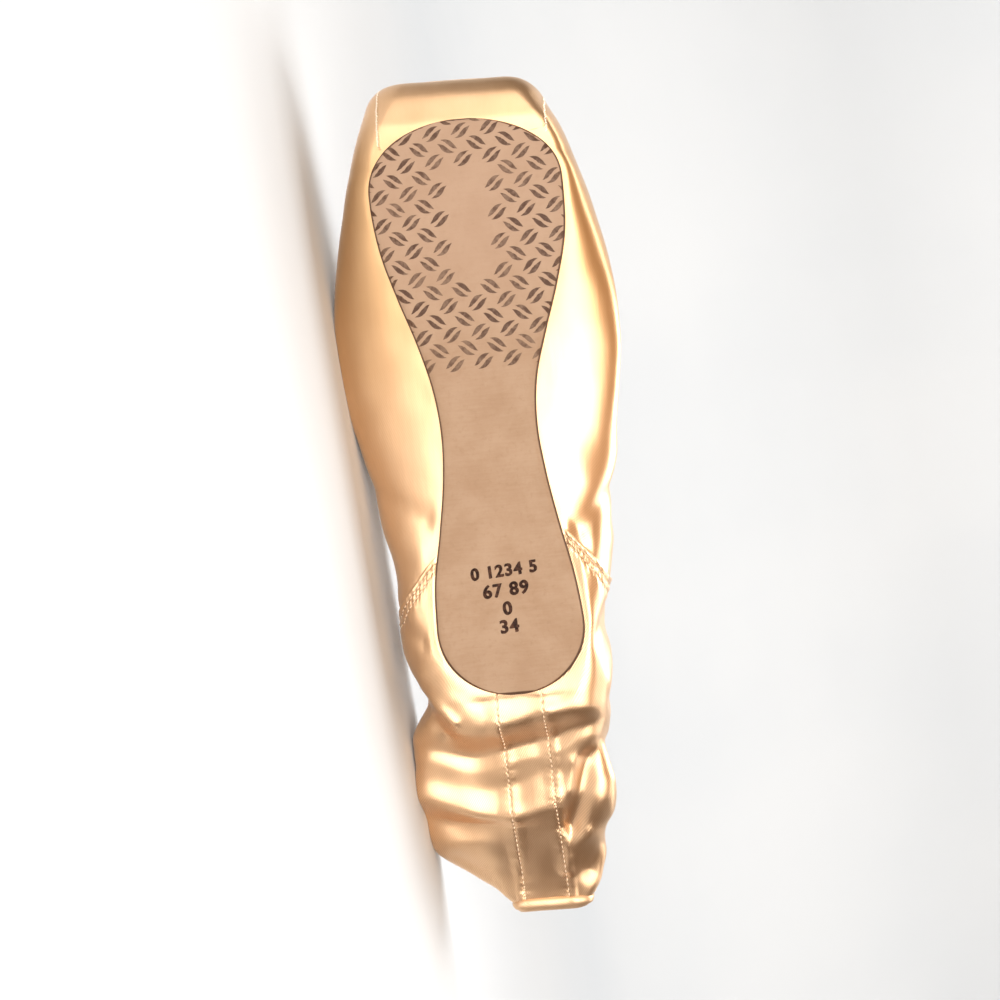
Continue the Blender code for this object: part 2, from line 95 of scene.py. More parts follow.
TOE_CROWN_ROUND = 0.45
TOE_BASE_ROUND = 0.55



def table(columns, *rows):
    """Rows with named columns."""
    row = namedtuple("row", columns)
    return [row(*values) for values in rows]


# Sole outline: half widths left and right as shares of the named width
SOLE_OUTLINE = table(
    "along width left right",
    (0.00, SEAT_WIDTH, 0.505, 0.495),
    (0.13, SEAT_WIDTH, 0.505, 0.495),
    (0.20, SEAT_WIDTH, 0.490, 0.465),
    (0.29, SEAT_WIDTH, 0.424, 0.397),
    (0.38, WAIST_WIDTH, 0.555, 0.510),
    (0.46, WAIST_WIDTH, 0.528, 0.472),
    (0.54, WAIST_WIDTH, 0.568, 0.520),
    (0.62, TREAD_WIDTH, 0.340, 0.335),
    (0.70, TREAD_WIDTH, 0.413, 0.418),
    (0.78, TREAD_WIDTH, 0.476, 0.480),
    (0.86, TREAD_WIDTH, 0.505, 0.495),
    (0.93, TREAD_WIDTH, 0.505, 0.490),
    (1.00, TREAD_WIDTH, 0.500, 0.480),
)
SOLE_LIFT = table(
    "along rise share",
    (0.00, HEEL_SPRING, 1.0),
    (0.14, HEEL_SPRING, 0.0),
    (0.28, ARCH_RISE, 0.4),
    (0.44, ARCH_RISE, 1.0),
    (0.60, ARCH_RISE, 0.45),
    (0.76, ARCH_RISE, 0.0),
    (0.88, TOE_SPRING, 0.2),
    (1.00, TOE_SPRING, 1.0),
)

# Sections of the upper over the sole, past its front and behind its heel end
FOOT_SECTIONS = table(
    "along left right wide crown opening",
    (0.00, 0.345, 0.306, 0.38, 1.02, 0.84),
    (0.05, 0.376, 0.309, 0.36, 1.02, 0.84),
    (0.10, 0.398, 0.304, 0.35, 1.01, 0.84),
    (0.16, 0.412, 0.335, 0.34, 1.00, 0.83),
    (0.21, 0.402, 0.357, 0.33, 0.99, 0.82),
    (0.27, 0.418, 0.368, 0.32, 0.98, 0.80),
    (0.34, 0.443, 0.388, 0.31, 0.98, 0.76),
    (0.40, 0.465, 0.412, 0.30, 0.98, 0.71),
    (0.46, 0.486, 0.428, 0.25, 0.99, 0.65),
    (0.52, 0.510, 0.448, 0.22, 0.99, 0.59),
    (0.58, 0.524, 0.467, 0.20, 0.98, 0.54),
    (0.64, 0.528, 0.472, 0.20, 0.965, 0.50),
    (0.70, 0.521, 0.466, 0.21, 0.935, 0.50),
    (0.76, 0.507, 0.451, 0.25, 0.895, 0.50),
    (0.82, 0.485, 0.428, 0.29, 0.845, 0.50),
    (0.88, 0.457, 0.402, 0.33, 0.785, 0.50),
    (0.94, 0.424, 0.370, 0.35, 0.715, 0.50),
)
TOE_SECTIONS = table(
    "past left right wide crown base",
    (0.0, 0.384, 0.333, 0.60, 1.13, 0.00),
    (0.5, 0.350, 0.292, 0.60, 1.05, 0.08),
    (1.0, 0.325, 0.268, 0.60, 0.98, 0.20),
)
HEEL_SECTIONS = table(
    "behind left right wide crown opening",
    (0.04, 0.522, 0.444, 0.37, 0.98, 0.84),
    (0.11, 0.545, 0.436, 0.37, 0.97, 0.84),
    (0.18, 0.580, 0.410, 0.35, 0.95, 0.84),
    (0.26, 0.602, 0.382, 0.35, 0.94, 0.84),
    (0.36, 0.608, 0.387, 0.37, 0.92, 0.84),
    (0.46, 0.609, 0.391, 0.40, 0.90, 0.84),
    (0.56, 0.600, 0.380, 0.44, 0.87, 0.84),
    (0.65, 0.585, 0.335, 0.50, 0.84, 0.84),
    (0.72, 0.560, 0.325, 0.52, 0.81, 0.84),
    (0.78, 0.490, 0.325, 0.54, 0.78, 0.84),
    (0.84, 0.385, 0.308, 0.55, 0.76, 0.84),
    (0.90, 0.290, 0.285, 0.56, 0.74, 0.84),
    (0.95, 0.220, 0.248, 0.57, 0.72, 0.84),
    (1.00, 0.150, 0.205, 0.57, 0.70, 0.84),
)
BACK_WALL = table(
    "behind share",
    (0.00, 0.00),
    (0.10, 0.12),
    (0.25, 0.32),
    (0.45, 0.55),
    (0.65, 0.75),
    (0.85, 0.92),
    (1.00, 1.00),
)

# The slack heel as seen from below: crests and troughs that cross it one behind the other, from
# the sole's end to the collar. Each line runs through points given as distance across, distance
# along and height, in millimetres.
CROSS_FOLDS = (
    ((-42, 9, 0), (-20, 3, 0), (0, 0.5, 0), (20, 3, 0), (40, 9, 0)),
    ((-42, -11, 0.6), (-26, -12.5, 3.2), (-11, -11, 3.9), (12, -7.2, 3.4), (23, -6.5, 2.6), (36, -6, 0.8)),
    ((-42, -21, -1.8), (-36, -22, -3.0), (-22, -27.5, -4.0), (-6, -24, -2.9), (14, -20, -2.3),
     (22, -16, -0.4), (36, -14, 0)),
    ((-42, -26, 0.2), (-22, -32, -0.6), (-6, -28, 0.4), (14, -24, 0.8), (23, -20, 1.6), (36, -22, 1.0)),
    ((-44, -32, 1.4), (-30, -37, 0.8), (-15, -39.5, 1.0), (5, -34, 1.2), (17, -30, 2.2), (36, -30, 0.6)),
    ((-46, -40, 4.2), (-34, -45, 4.6), (-14, -50, 6.2), (5, -47, 7.0), (16, -44, 5.4), (36, -46, 2.6)),
    ((-46, -53, -2.2), (-36, -55, -1.8), (-18, -55, 2.6), (0, -58, 4.0), (16, -60, 2.8), (36, -60, 1.0)),
    ((-46, -61, 1.0), (-25, -62, 3.4), (-12, -62, 3.0), (0, -66, 2.8), (16, -70, 1.6), (36, -72, 0.5)),
    ((-46, -76, -1.6), (-25, -76, 0.0), (0, -80, 0.5), (16, -84, 0.2), (36, -84, 0)),
    ((-46, -97, 0), (0, -97, 0), (36, -97, 0)),
)
# Shorter folds, from one end to the other, in millimetres: ridges stand out, troughs sink in
FOLD_COLUMNS = "along_a across_a along_b across_b half_width rise"
BACK_FOLDS = table(
    FOLD_COLUMNS,
    (6, -40, -8, -27, 1.9, 1.4),
    (-1, -41, -15, -32, 4.0, -3.0),
    (-31, 24, -58, 14, 4.2, -2.9),
    (-30, 18, -40, 16, 3.0, 0.9),
    (-40, 30, -62, 20, 4.6, 1.4),
    (-60, 19, -78, 10, 3.6, 1.4),
    (-62, 31, -80, 20, 4.0, -1.8),
    (-20, 33, -27, 27, 3.2, -1.6),
    (-70, -36, -84, -22, 4.0, -1.0),
)
# Soft dents and swellings of the sides, by distance along and by run round the section from
# the middle of the underside, in millimetres; the run is negative on the side that lies below
SIDE_FOLDS = table(
    FOLD_COLUMNS,
    (92, -64, 74, -32, 4.5, -0.9),
    (74, -66, 61, -38, 7.0, 0.8),
    (83, 62, 64, 34, 5.0, -1.6),
    (60, 66, 58, 44, 5.0, 0.9),
    (100, 70, 84, 40, 6.0, 0.5),
    (40, -70, 24, -40, 4.5, -1.2),
    (28, -74, 10, -44, 5.0, 1.0),
    (36, 72, 20, 38, 4.5, -1.2),
    (16, 70, 2, 40, 5.0, 1.0),
    (2, -80, -6, -46, 4.2, -1.4),
    (-12, -84, -18, -50, 5.0, 1.2),
    (-28, -84, -30, -52, 4.5, -1.5),
    (-44, -84, -42, -54, 5.5, 1.2),
    (-58, -82, -56, -54, 4.0, -1.4),
    (0, 80, -8, 42, 4.5, -1.4),
    (-16, 80, -22, 44, 4.5, 1.1),
    (-30, 78, -34, 44, 4.0, -1.5),
    (-46, 76, -48, 44, 5.0, 1.2),
    (-62, 70, -60, 40, 4.2, -1.2),
)
CLEAR_OF_SOLE = 0.006
QUARTER_STEP = 0.0006
STRIP_EDGE = 0.0128
STRIP_STEP = 0.0004
BAND_HALF = 0.034

# Stitches: the quarter's two rows behind its seam, the strip's row off the middle, their pitches
QUARTER_ROWS = (0.0032, 0.0068)
QUARTER_PITCH = 0.0026
STITCH_LINE = 0.0093
STRIP_PITCH = 0.0024

# Least distance between points of the collar's line
CLOSEST = 0.0009

# Rows of the upper's skin on each side: under the sole, up to the widest line, over to the collar
UNDER_ROWS = 9
LOWER_ROWS = 38
CROWN_ROWS = 28


def smooth_table(places, values):
    """A smooth curve through the rows of a table, held level past its ends."""
    x = np.asarray(places, float)
    y = np.asarray(values, float)
    slope = np.gradient(y, x)

    def read(at):
        at = np.clip(at, x[0], x[-1])
        i = np.clip(np.searchsorted(x, at, side="right") - 1, 0, len(x) - 2)
        span = x[i + 1] - x[i]
        t = (at - x[i]) / span
        start = y[i] * (1 + 2 * t) + slope[i] * span * t
        end = y[i + 1] * (3 - 2 * t) - slope[i + 1] * span * (1 - t)
        return start * (1 - t) ** 2 + end * t * t

    return read


def ease(t):
    t = np.clip(t, 0.0, 1.0)
    return t * t * (3 - 2 * t)


SOLE_HALF = [
    smooth_table([r.along * SOLE_LENGTH for r in SOLE_OUTLINE],
                 [r.width * getattr(r, side) for r in SOLE_OUTLINE])
    for side in ("left", "right")
]
LIFT = smooth_table([r.along * SOLE_LENGTH for r in SOLE_LIFT],
                    [r.rise * r.share for r in SOLE_LIFT])
BACK = smooth_table([r.behind * HEEL_REACH for r in BACK_WALL],
                    [r.share * BACK_RISE for r in BACK_WALL])
TOE_BASE = smooth_table([SOLE_LENGTH + r.past * TOE_REACH for r in TOE_SECTIONS],
                        [r.base * PLATFORM_HEIGHT for r in TOE_SECTIONS])
TOE_TIP = SOLE_LENGTH + TOE_REACH
THROAT = TOE_TIP - VAMP_LENGTH


def section_curves():
    """One smooth curve along the shoe for each value of the upper's sections."""
    front = FOOT_SECTIONS[-1].opening
    rows = [(-r.behind * HEEL_REACH, HEEL_WIDTH, HEEL_HEIGHT, r, r.opening) for r in reversed(HEEL_SECTIONS)]
    rows += [(r.along * SOLE_LENGTH, BALL_WIDTH, INSTEP_HEIGHT, r, r.opening) for r in FOOT_SECTIONS]
    rows += [(SOLE_LENGTH + r.past * TOE_REACH, BALL_WIDTH, PLATFORM_HEIGHT, r, front) for r in TOE_SECTIONS]
    places, widths, heights, sections, openings = zip(*rows)
    values = {name: [getattr(r, name) * size for r, size in zip(sections, sizes)]
              for name, sizes in (("left", widths), ("right", widths), ("wide", heights), ("crown", heights))}
    values["opening"] = openings
    return {name: smooth_table(places, column) for name, column in values.items()}


CURVES = section_curves()


def end_rounding(past, length, fullness):
    t = np.clip(past / length, 0.0, 1.0)
    return np.sqrt(np.maximum(0.0, 1 - (1 - t) ** fullness))


def sole_half(along, side, inset=0.0):
    """Half width of the sole's outline on one side, drawn in by an inset all round."""
    length = SOLE_LENGTH - 2 * inset
    width = SOLE_HALF[side]((along - inset) / length * SOLE_LENGTH)
    width = width * end_rounding(along - inset, SEAT_END * length, SEAT_FULLNESS)
    width = width * end_rounding(SOLE_LENGTH - inset - along, FRONT_END * length, FRONT_FULLNESS)
    if inset:
        width = width - inset * ease(width / (3 * inset))
    return np.maximum(0.0, width)


def section_width(along, side):
    return CURVES["right" if side else "left"](along)


def underside_half(along, side):
    """Half width of the flat underside that the sole covers, carried on to toe and heel."""
    seat = 0.07 * SOLE_LENGTH
    tread = 0.93 * SOLE_LENGTH
    width = sole_half(np.clip(along, seat, tread), side) + SOLE_MARGIN
    toe = TOE_FLAT * section_width(TOE_TIP, side)
    width = width + (toe - width) * ease((along - tread) / (TOE_TIP - tread))
    return width + (STRIP_WIDTH / 2 - width) * ease((seat - along) / (seat + 0.32 * HEEL_REACH))


def toe_inset(along):
    over = np.clip(along - (TOE_TIP - TOE_ROUND), 0.0, TOE_ROUND)
    return TOE_ROUND - np.sqrt(TOE_ROUND ** 2 - over ** 2)


def base_height(along):
    height = LIFT(along) + SOLE_THICKNESS + CLEARANCE
    height = height + np.where(along < 0, BACK(-along), 0.0)
    height = height + np.where(along > SOLE_LENGTH, TOE_BASE(along), 0.0)
    return height + TOE_BASE_ROUND * toe_inset(along)


def toe_skew(along):
    """Slant of the box: how far the toe end runs back per distance across."""
    return TOE_SKEW * ease((along - 0.8 * SOLE_LENGTH) / (TOE_TIP - 0.8 * SOLE_LENGTH))


def throat_share(along):
    inside = np.clip((THROAT - along) / THROAT_DEPTH, 0.0, 1.0)
    return np.sqrt(1 - (1 - inside) ** 2)


def bend(a, b, c, d, t):
    return a * (1 - t) ** 3 + b * 3 * t * (1 - t) ** 2 + c * 3 * t * t * (1 - t) + d * t ** 3


def crown_turn(edge_share):
    """How far along its quarter curve the crown goes to stop at a share of its half width."""
    t = np.linspace(0, 1, 200)
    across = bend(1.0, 1.0, 1 - CROWN_LEVEL, 0.0, t)
    return np.interp(edge_share, across[::-1], t[::-1])


def floor_line():
    """Angle and level, across the shoe, of the floor that touches the box and the slack heel."""
    balls = np.linspace(0.4, 0.9, 51) * SOLE_LENGTH
    heels = np.linspace(0.1, 0.7, 61) * -HEEL_REACH
    reach = lambda s, angle: section_width(s, 0) * cos(angle) - s * sin(angle)
    ball = balls[np.argmax(section_width(balls, 0))]
    heel = heels[np.argmax(section_width(heels, 0))]
    angle = 0.0
    for _ in range(4):
        angle = atan2(section_width(ball, 0) - section_width(heel, 0), ball - heel)
        ball = balls[np.argmax(reach(balls, angle))]
        heel = heels[np.argmax(reach(heels, angle))]
    return angle, -reach(ball, angle) + FLOOR_FLAT


FLOOR_ANGLE, FLOOR_LEVEL = floor_line()
CENTRE_X = -0.0802593
CENTRE_Y = 0.0307669
MIDDLE = (0.0, 0.0, 0.058)

# Camera in millimetres, and the colour of daylight
LENS = 45.684
SENSOR = 36
DAYLIGHT = (1.0, 0.985, 0.95)


def lay_down(along, across, height):
    """From the shoe's own frame to the floor's, as an array of places."""
    x = across * sin(FLOOR_ANGLE) - along * cos(FLOOR_ANGLE) - CENTRE_X
    z = across * cos(FLOOR_ANGLE) + along * sin(FLOOR_ANGLE) - FLOOR_LEVEL
    return np.stack([x, height - CENTRE_Y, z], axis=-1)


def turn_down(along, across, height):
    """The same turn for a direction."""
    return Vector(lay_down(along, across, height) - lay_down(0.0, 0.0, 0.0))


def fold_relief(folds, along, across):
    """Height of a table of folds at given places, in metres."""
    relief = np.zeros_like(along)
    for fold in folds:
        a = np.array([fold.along_a, fold.across_a]) / 1000
        b = np.array([fold.along_b, fold.across_b]) / 1000
        run = b - a
        t = ((along - a[0]) * run[0] + (across - a[1]) * run[1]) / np.dot(run, run)
        t = np.clip(t, 0.0, 1.0)
        away = np.hypot(along - a[0] - run[0] * t, across - a[1] - run[1] * t)
        relief += fold.rise / 1000 * np.exp(-((away * 1000 / fold.half_width) ** 2))
    return relief


def cross_relief(along, across):
    """Height of the folds that cross the slack heel, in metres."""
    lines = [np.array(line) / 1000 for line in CROSS_FOLDS]
    places = [smooth_table(line[:, 0], line[:, 1])(across) for line in lines]
    rises = [smooth_table(line[:, 0], line[:, 2])(across) for line in lines]
    relief = np.zeros_like(along)
    for k in range(len(lines) - 1):
        t = (places[k] - along) / (places[k] - places[k + 1])
        between = (t >= 0) & (t < 1)
        relief = np.where(between, rises[k] + (rises[k + 1] - rises[k]) * (0.65 * t + 0.35 * ease(t)), relief)
    return relief


def softened(relief, times):
    """A relief with its crests rounded by the stiffness of the cloth."""
    for _ in range(times):
        for axis in (0, 1):
            ends = [(1, 1) if axis == a else (0, 0) for a in (0, 1)]
            wide = np.pad(relief, ends, mode="edge").swapaxes(0, axis)
            relief = ((wide[2:] + 2 * wide[1:-1] + wide[:-2]) / 4).swapaxes(0, axis)
    return relief


def stations():
    """Places of the skin's columns, from the platform to the collar behind the heel."""
    places = [TOE_TIP - TOE_ROUND + TOE_ROUND * sin(a) for a in np.linspace(pi / 2, 0, 12)]
    places += list(np.arange(TOE_TIP - TOE_ROUND - 0.0015, 0.0, -0.0017))
    places += [THROAT - THROAT_DEPTH * (1 - cos(a)) for a in np.linspace(0, 0.9, 9)]
    places += list(QUARTER_SEAM + np.array([1.2, 0.7, 0.3, 0.08, -0.08, -0.3, -0.7, -1.2, -1.8]) / 1000)
    places += list(np.linspace(0, -HEEL_REACH, 100))
    places.sort(reverse=True)
    kept = [places[0]]
    for place in places[1:]:
        if kept[-1] - place > 0.00014:
            kept.append(place)
    kept[-1] = -HEEL_REACH
    return np.array(kept)


STATIONS = stations()
SIDE_ROWS = UNDER_ROWS + LOWER_ROWS + CROWN_ROWS


def crown_at(width, rise, t):
    """Across, and height above the widest line, at a turn of the crown's quarter curve."""
    across = bend(width, width, width * (1 - CROWN_LEVEL), 0.0, t)
    return across, bend(0.0, rise * CROWN_UPRIGHT, rise, rise, t)


def crown_points(width, rise, last, share):
    """Points at even runs along the crown's quarter curve, for arrays of sections."""
    t = last[..., None] * np.linspace(0, 1, 25)
    across, height = crown_at(width[..., None], rise[..., None], t)
    steps = np.hypot(np.diff(across, axis=-1), np.diff(height, axis=-1))
    runs = np.concatenate([np.zeros_like(steps[..., :1]), np.cumsum(steps, axis=-1)], axis=-1)
    aim = share * runs[..., -1]
    i = np.clip((runs < aim[..., None]).sum(axis=-1) - 1, 0, 23)
    low = np.take_along_axis(runs, i[..., None], -1)[..., 0]
    high = np.take_along_axis(runs, i[..., None] + 1, -1)[..., 0]
    return crown_at(width, rise, (i + (aim - low) / np.maximum(high - low, 1e-9)) / 24 * last)


def side_skin(side):
    """Bare form of one side of the upper: along, across and height of each station and row."""
    row = np.arange(SIDE_ROWS + 1)
    under = np.clip(row / UNDER_ROWS, 0, 1)
    lower = np.clip((row - UNDER_ROWS) / LOWER_ROWS, 0, 1)
    over = np.clip((row - UNDER_ROWS - LOWER_ROWS) / CROWN_ROWS, 0, 1)
    near_seam = np.exp(-((STATIONS - QUARTER_SEAM) / SEAM_SPREAD) ** 2)
    slant = QUARTER_SHIFT * side - QUARTER_SLANT * np.sin(lower * pi / 2) - QUARTER_RISE * over
    along = STATIONS[:, None] + slant[None, :] * near_seam[:, None]
    inset = toe_inset(along)
    width = section_width(along, side) - inset
    wide = CURVES["wide"](along)
    crown = CURVES["crown"](along) - TOE_CROWN_ROUND * inset
    base = base_height(along)
    flat = np.minimum(underside_half(along, side) - 0.3 * inset, width - 0.002)
    hole = sole_half(along, side, FLANGE)
    level = LOWER_LEVEL + (HEEL_LEVEL - LOWER_LEVEL) * ease((0.02 - along) / 0.05)
    low_across = bend(flat, flat + (width - flat) * level, width, width, lower)
    low_height = bend(base, base, wide - (wide - base) * LOWER_UPRIGHT, wide, lower)
    last = crown_turn(CURVES["opening"](along) * throat_share(along))
    top_across, top_rise = crown_points(width, crown - wide, last, over)
    parts = [row <= UNDER_ROWS, row <= UNDER_ROWS + LOWER_ROWS]
    across = np.select(parts, [hole + (flat - hole) * under, low_across], top_across)
    height = np.select(parts, [base, low_height], wide + top_rise)
    sign = 1 if side else -1
    place = np.stack([along - toe_skew(along) * sign * across, sign * across, height], axis=-1)
    facing = 1 - ease((height - base) / (0.9 * (wide - base)) - 0.4)
    clear = np.maximum(-along, across - sole_half(along + CLEAR_OF_SOLE, side)) / CLEAR_OF_SOLE
    return place, facing, ease(clear), over


def unit(vectors):
    return vectors / np.maximum(np.linalg.norm(vectors, axis=-1, keepdims=True), 1e-12)


def runs_along(points):
    """Length of the way to each point of a line."""
    return np.concatenate([[0], np.cumsum(np.linalg.norm(np.diff(points, axis=0), axis=1))])


def outward(place, side):
    """Unit normals of a side's grid, pointing out of the shoe."""
    return unit(np.cross(np.gradient(place, axis=0), np.gradient(place, axis=1)) * (1 if side else -1))


def seam_relief(along, across, run, station):
    """Steps, stitch grooves and puckers at the seams of the quarter and the back strip."""
    behind = QUARTER_SEAM - station
    fade_in = ease((run - 0.004) / 0.006)
    step = QUARTER_STEP * ease(behind / 0.0004) * ease((station + 0.9 * HEEL_REACH) / 0.03)
    lip = 0.00035 * np.exp(-((behind - 0.0009) / 0.0008) ** 2)
    rows = sum(-0.0004 * np.exp(-((behind - row) / 0.0007) ** 2) for row in QUARTER_ROWS)
    pucker = 0.00018 * np.sin(run * 2 * pi / 0.0052) * np.exp(-((behind - 0.005) / 0.005) ** 2)
    quarter = (step + lip + rows + pucker) * fade_in
    behind_heel = ease((-along - 0.0005) / 0.003)
    off = np.abs(across)
    strip = STRIP_STEP * (1 - ease((off - STRIP_EDGE) / 0.0006 + 0.5))
    groove = -0.00018 * np.exp(-((off - STITCH_LINE) / 0.0007) ** 2)
    swell = 0.00012 * np.exp(-((off - 0.0112) / 0.0009) ** 2)
    gather = 0.00012 * np.sin(along * 2 * pi / 0.0061 + across * 60)
    gather = gather * np.exp(-((off - STITCH_LINE) / 0.004) ** 2)
    return quarter + (strip + groove + swell + gather) * behind_heel


def cloth_drift(along, run):
    """Slow unevenness of cloth that is drawn by hand over a form."""
    soft = 1 - ease((along + 0.02) / 0.11)
    waves = np.sin(along * 310 + run * 140 + 0.7) + np.sin(along * 170 - run * 260 + 2.1)
    waves = waves + 0.7 * np.sin(along * 95 + run * 410 + 4.0)
    return 0.00013 * waves * (0.25 + 0.75 * soft)


def dressed_side(side):
    """World places of one side's skin with its folds and seams, and its run round the section."""
    place, facing, clear, over = side_skin(side)
    steps = np.linalg.norm(np.diff(place, axis=1), axis=-1)
    run = np.concatenate([np.zeros_like(steps[:, :1]), np.cumsum(steps, axis=1)], axis=1)
    run = run + np.abs(place[:, :1, 1])
    along, across = place[..., 0], place[..., 1]
    station = np.broadcast_to(STATIONS[:, None], along.shape)
    sign = 1 if side else -1
    closed = throat_share(along[:, -1:]) == 0
    calm = np.where(closed, ease((1 - over) / 0.25), 1.0)
    collar = ease((1 - over) / 0.12)
    relief = softened(cross_relief(along, across), 3) + fold_relief(BACK_FOLDS, along, across)
    relief = relief * facing * clear * ease((0.012 - along) / 0.02)
    relief = relief + fold_relief(SIDE_FOLDS, along, sign * run) * clear * (0.3 + 0.7 * collar)
    covered = ease((np.abs(across) - sole_half(along, side)) / 0.004 + ease(-along / 0.003))
    relief = relief + cloth_drift(along, sign * run) * covered
    relief = relief + seam_relief(along, across, run, station) * covered
    place = place + outward(place, side) * (relief * calm)[..., None]
    world = lay_down(place[..., 0], place[..., 1], place[..., 2])
    world[..., 2] = np.maximum(world[..., 2], 0.00005)
    marks = {
        "quarter": np.clip(QUARTER_SEAM - station, -0.03, 0.03),
        "strip": np.abs(across) - STITCH_LINE + 0.03 * ease(along / 0.012) + 0.03 * over,
        "band": np.abs(across) - BAND_HALF + 0.1 * ease((0.226 - along) / 0.006) + 0.1 * ease(over * 20),
    }
    return world, sign * run, marks


def cloth_grid(bm, places, chart, marks=None):
    """Adds a sheet to a mesh: a grid whose vertices are laid on an array of places, charted in metres.
    Marks are named arrays of distances that the finishes read."""
    rows, columns = places.shape[:2]
    layer = bm.loops.layers.uv.get("UVMap") or bm.loops.layers.uv.new("UVMap")
    for name in marks or {}:
        bm.verts.layers.float.get(name) or bm.verts.layers.float.new(name)
    made = bmesh.ops.create_grid(bm, x_segments=rows - 1, y_segments=columns - 1, size=1)["verts"]
    at = {}
    for vert in made:
        at[vert] = (round((vert.co.x + 1) / 2 * (rows - 1)), round((vert.co.y + 1) / 2 * (columns - 1)))
    for name, values in (marks or {}).items():
        mark = bm.verts.layers.float[name]
        for vert, place in at.items():
            vert[mark] = values[place]
    for vert, place in at.items():
        vert.co = places[place]
    for face in {face for vert in made for face in vert.link_faces}:
        for loop in face.loops:
            loop[layer].uv = chart[at[loop.vert]]
    return made


def only_verts(made):
    return [item for item in made if isinstance(item, bmesh.types.BMVert)]


def close_up(bm, near, thin=0.0):
    """Joins what meets, drops what is too thin to be a face, and turns all faces outward."""
    bmesh.ops.remove_doubles(bm, verts=bm.verts, dist=near)
    if thin:
        bmesh.ops.dissolve_degenerate(bm, edges=bm.edges, dist=thin)
    bmesh.ops.recalc_face_normals(bm, faces=bm.faces)


def new_piece(name, bm, finishes, sharp=None):
    mesh = bpy.data.meshes.new(name)
    bm.to_mesh(mesh)
    bm.free()
    for finish in finishes:
        mesh.materials.append(finish)
    mesh.shade_smooth()
    if sharp:
        mesh.set_sharp_from_angle(angle=sharp)
    piece = bpy.data.objects.new(name, mesh)
    bpy.context.scene.collection.objects.link(piece)
    return piece


def operator(operation, turned=False):
    """A Python operator that adds one step of maths to a finish's node tree."""
    def build(self, other):
        return self.maths(operation, *((other, self) if turned else (self, other)))

    return build


class Value:
    """A socket in a finish's node tree, so that sums on it read as plain sums."""

    def __init__(self, finish, socket):
        self.finish = finish
        self.socket = socket

    def maths(self, operation, *values):
        return self.finish.node("ShaderNodeMath", {"operation": operation}, *values)

    __add__, __radd__ = operator("ADD"), operator("ADD", True)
    __sub__, __rsub__ = operator("SUBTRACT"), operator("SUBTRACT", True)
    __mul__, __rmul__ = operator("MULTIPLY"), operator("MULTIPLY", True)
    __truediv__, __rtruediv__ = operator("DIVIDE"), operator("DIVIDE", True)
    __pow__ = operator("POWER")
    above, below, least = operator("GREATER_THAN"), operator("LESS_THAN"), operator("MINIMUM")

    def size(self):
        return self.maths("ABSOLUTE", self)

    def sine(self):
        return self.maths("SINE", self)

    def whole(self):
        return self.maths("FLOOR", self)

    def ramp(self, low, high):
        """0 below low, 1 above high, smooth between."""
        settings = {"interpolation_type": "SMOOTHSTEP"}
        return self.finish.node("ShaderNodeMapRange", settings, self, low, high, 0.0, 1.0)


class Finish:
    """A material with one main shader, and a short way to add nodes to it."""

    def __init__(self, name, **constants):
        self.material = bpy.data.materials.new(name)
        self.material.use_nodes = True
        self.tree = self.material.node_tree
        self.shader = self.tree.nodes["Principled BSDF"]
        for socket, value in constants.items():
            self.shader.inputs[socket.replace("_", " ")].default_value = value

    def node(self, kind, settings=None, *values, output=0, **named):
        made = self.tree.nodes.new(kind)
        for name, setting in (settings or {}).items():
            setattr(made, name, setting)
        pairs = list(zip(made.inputs, values))
        pairs += [(made.inputs[name.replace("_", " ")], value) for name, value in named.items()]
        for socket, value in pairs:
            self.feed(socket, value)
        return Value(self, made.outputs[output])

    def feed(self, socket, value):
        """A varying value, a colour or a number into a socket."""
        if isinstance(value, Value):
            self.tree.links.new(value.socket, socket)
        elif isinstance(value, tuple) and len(value) == 3 and socket.type == "RGBA":
            socket.default_value = (*value, 1)
        else:
            socket.default_value = value

    def chart(self):
        """The piece's own chart in metres, and its two directions."""
        at = self.node("ShaderNodeUVMap", {"uv_map": "UVMap"})
        apart = self.node("ShaderNodeSeparateXYZ", None, at)
        return at, apart, Value(self, apart.socket.node.outputs[1])

    def inside(self):
        """Places in the piece's own space."""
        return self.node("ShaderNodeTexCoord", None, output=3)

    def wave(self, value, pitch):
        """0 to 1 and back over each pitch of a distance."""
        return (value * (2 * pi / pitch)).sine() * 0.5 + 0.5

    def weave(self, u, v, pitch):
        """Plain weave of threads that cross at a pitch, 0 to 1."""
        return ((u * (2 * pi / pitch)).sine() * (v * (2 * pi / pitch)).sine()) * 0.5 + 0.5

    def mark(self, name):
        """A distance laid on the piece's vertices, in metres."""
        return self.node("ShaderNodeAttribute", {"attribute_name": name}, output=2)

    def near(self, value, centre, reach):
        """1 where a distance equals the centre, smoothly down to 0 at the reach on both sides."""
        return 1 - (value - centre).size().ramp(0.0, reach)

    def noise(self, at, scale, detail=2.0, roughness=0.5):
        return self.node("ShaderNodeTexNoise", None, Vector=at, Scale=scale, Detail=detail,
                         Roughness=roughness)

    def stretched(self, at, scale, turn=0.0):
        """The chart turned and stretched, for threads and grain."""
        return self.node("ShaderNodeMapping", None, at, Rotation=(0, 0, turn), Scale=scale)

    def blend(self, share, first, second):
        """A colour between two, by a share."""
        made = self.node("ShaderNodeMix", {"data_type": "RGBA"}).socket.node
        for i, value in ((0, share), (6, first), (7, second)):
            self.feed(made.inputs[i], value)
        return Value(self, made.outputs[2])

    def set(self, socket, value):
        self.tree.links.new(value.socket, self.shader.inputs[socket])

    def bump(self, height, depth, strength=1.0):
        """Roughens the surface by a height of 0 to 1, so many metres deep."""
        made = self.node("ShaderNodeBump", None, Strength=strength, Distance=depth, Height=height)
        self.set("Normal", made)


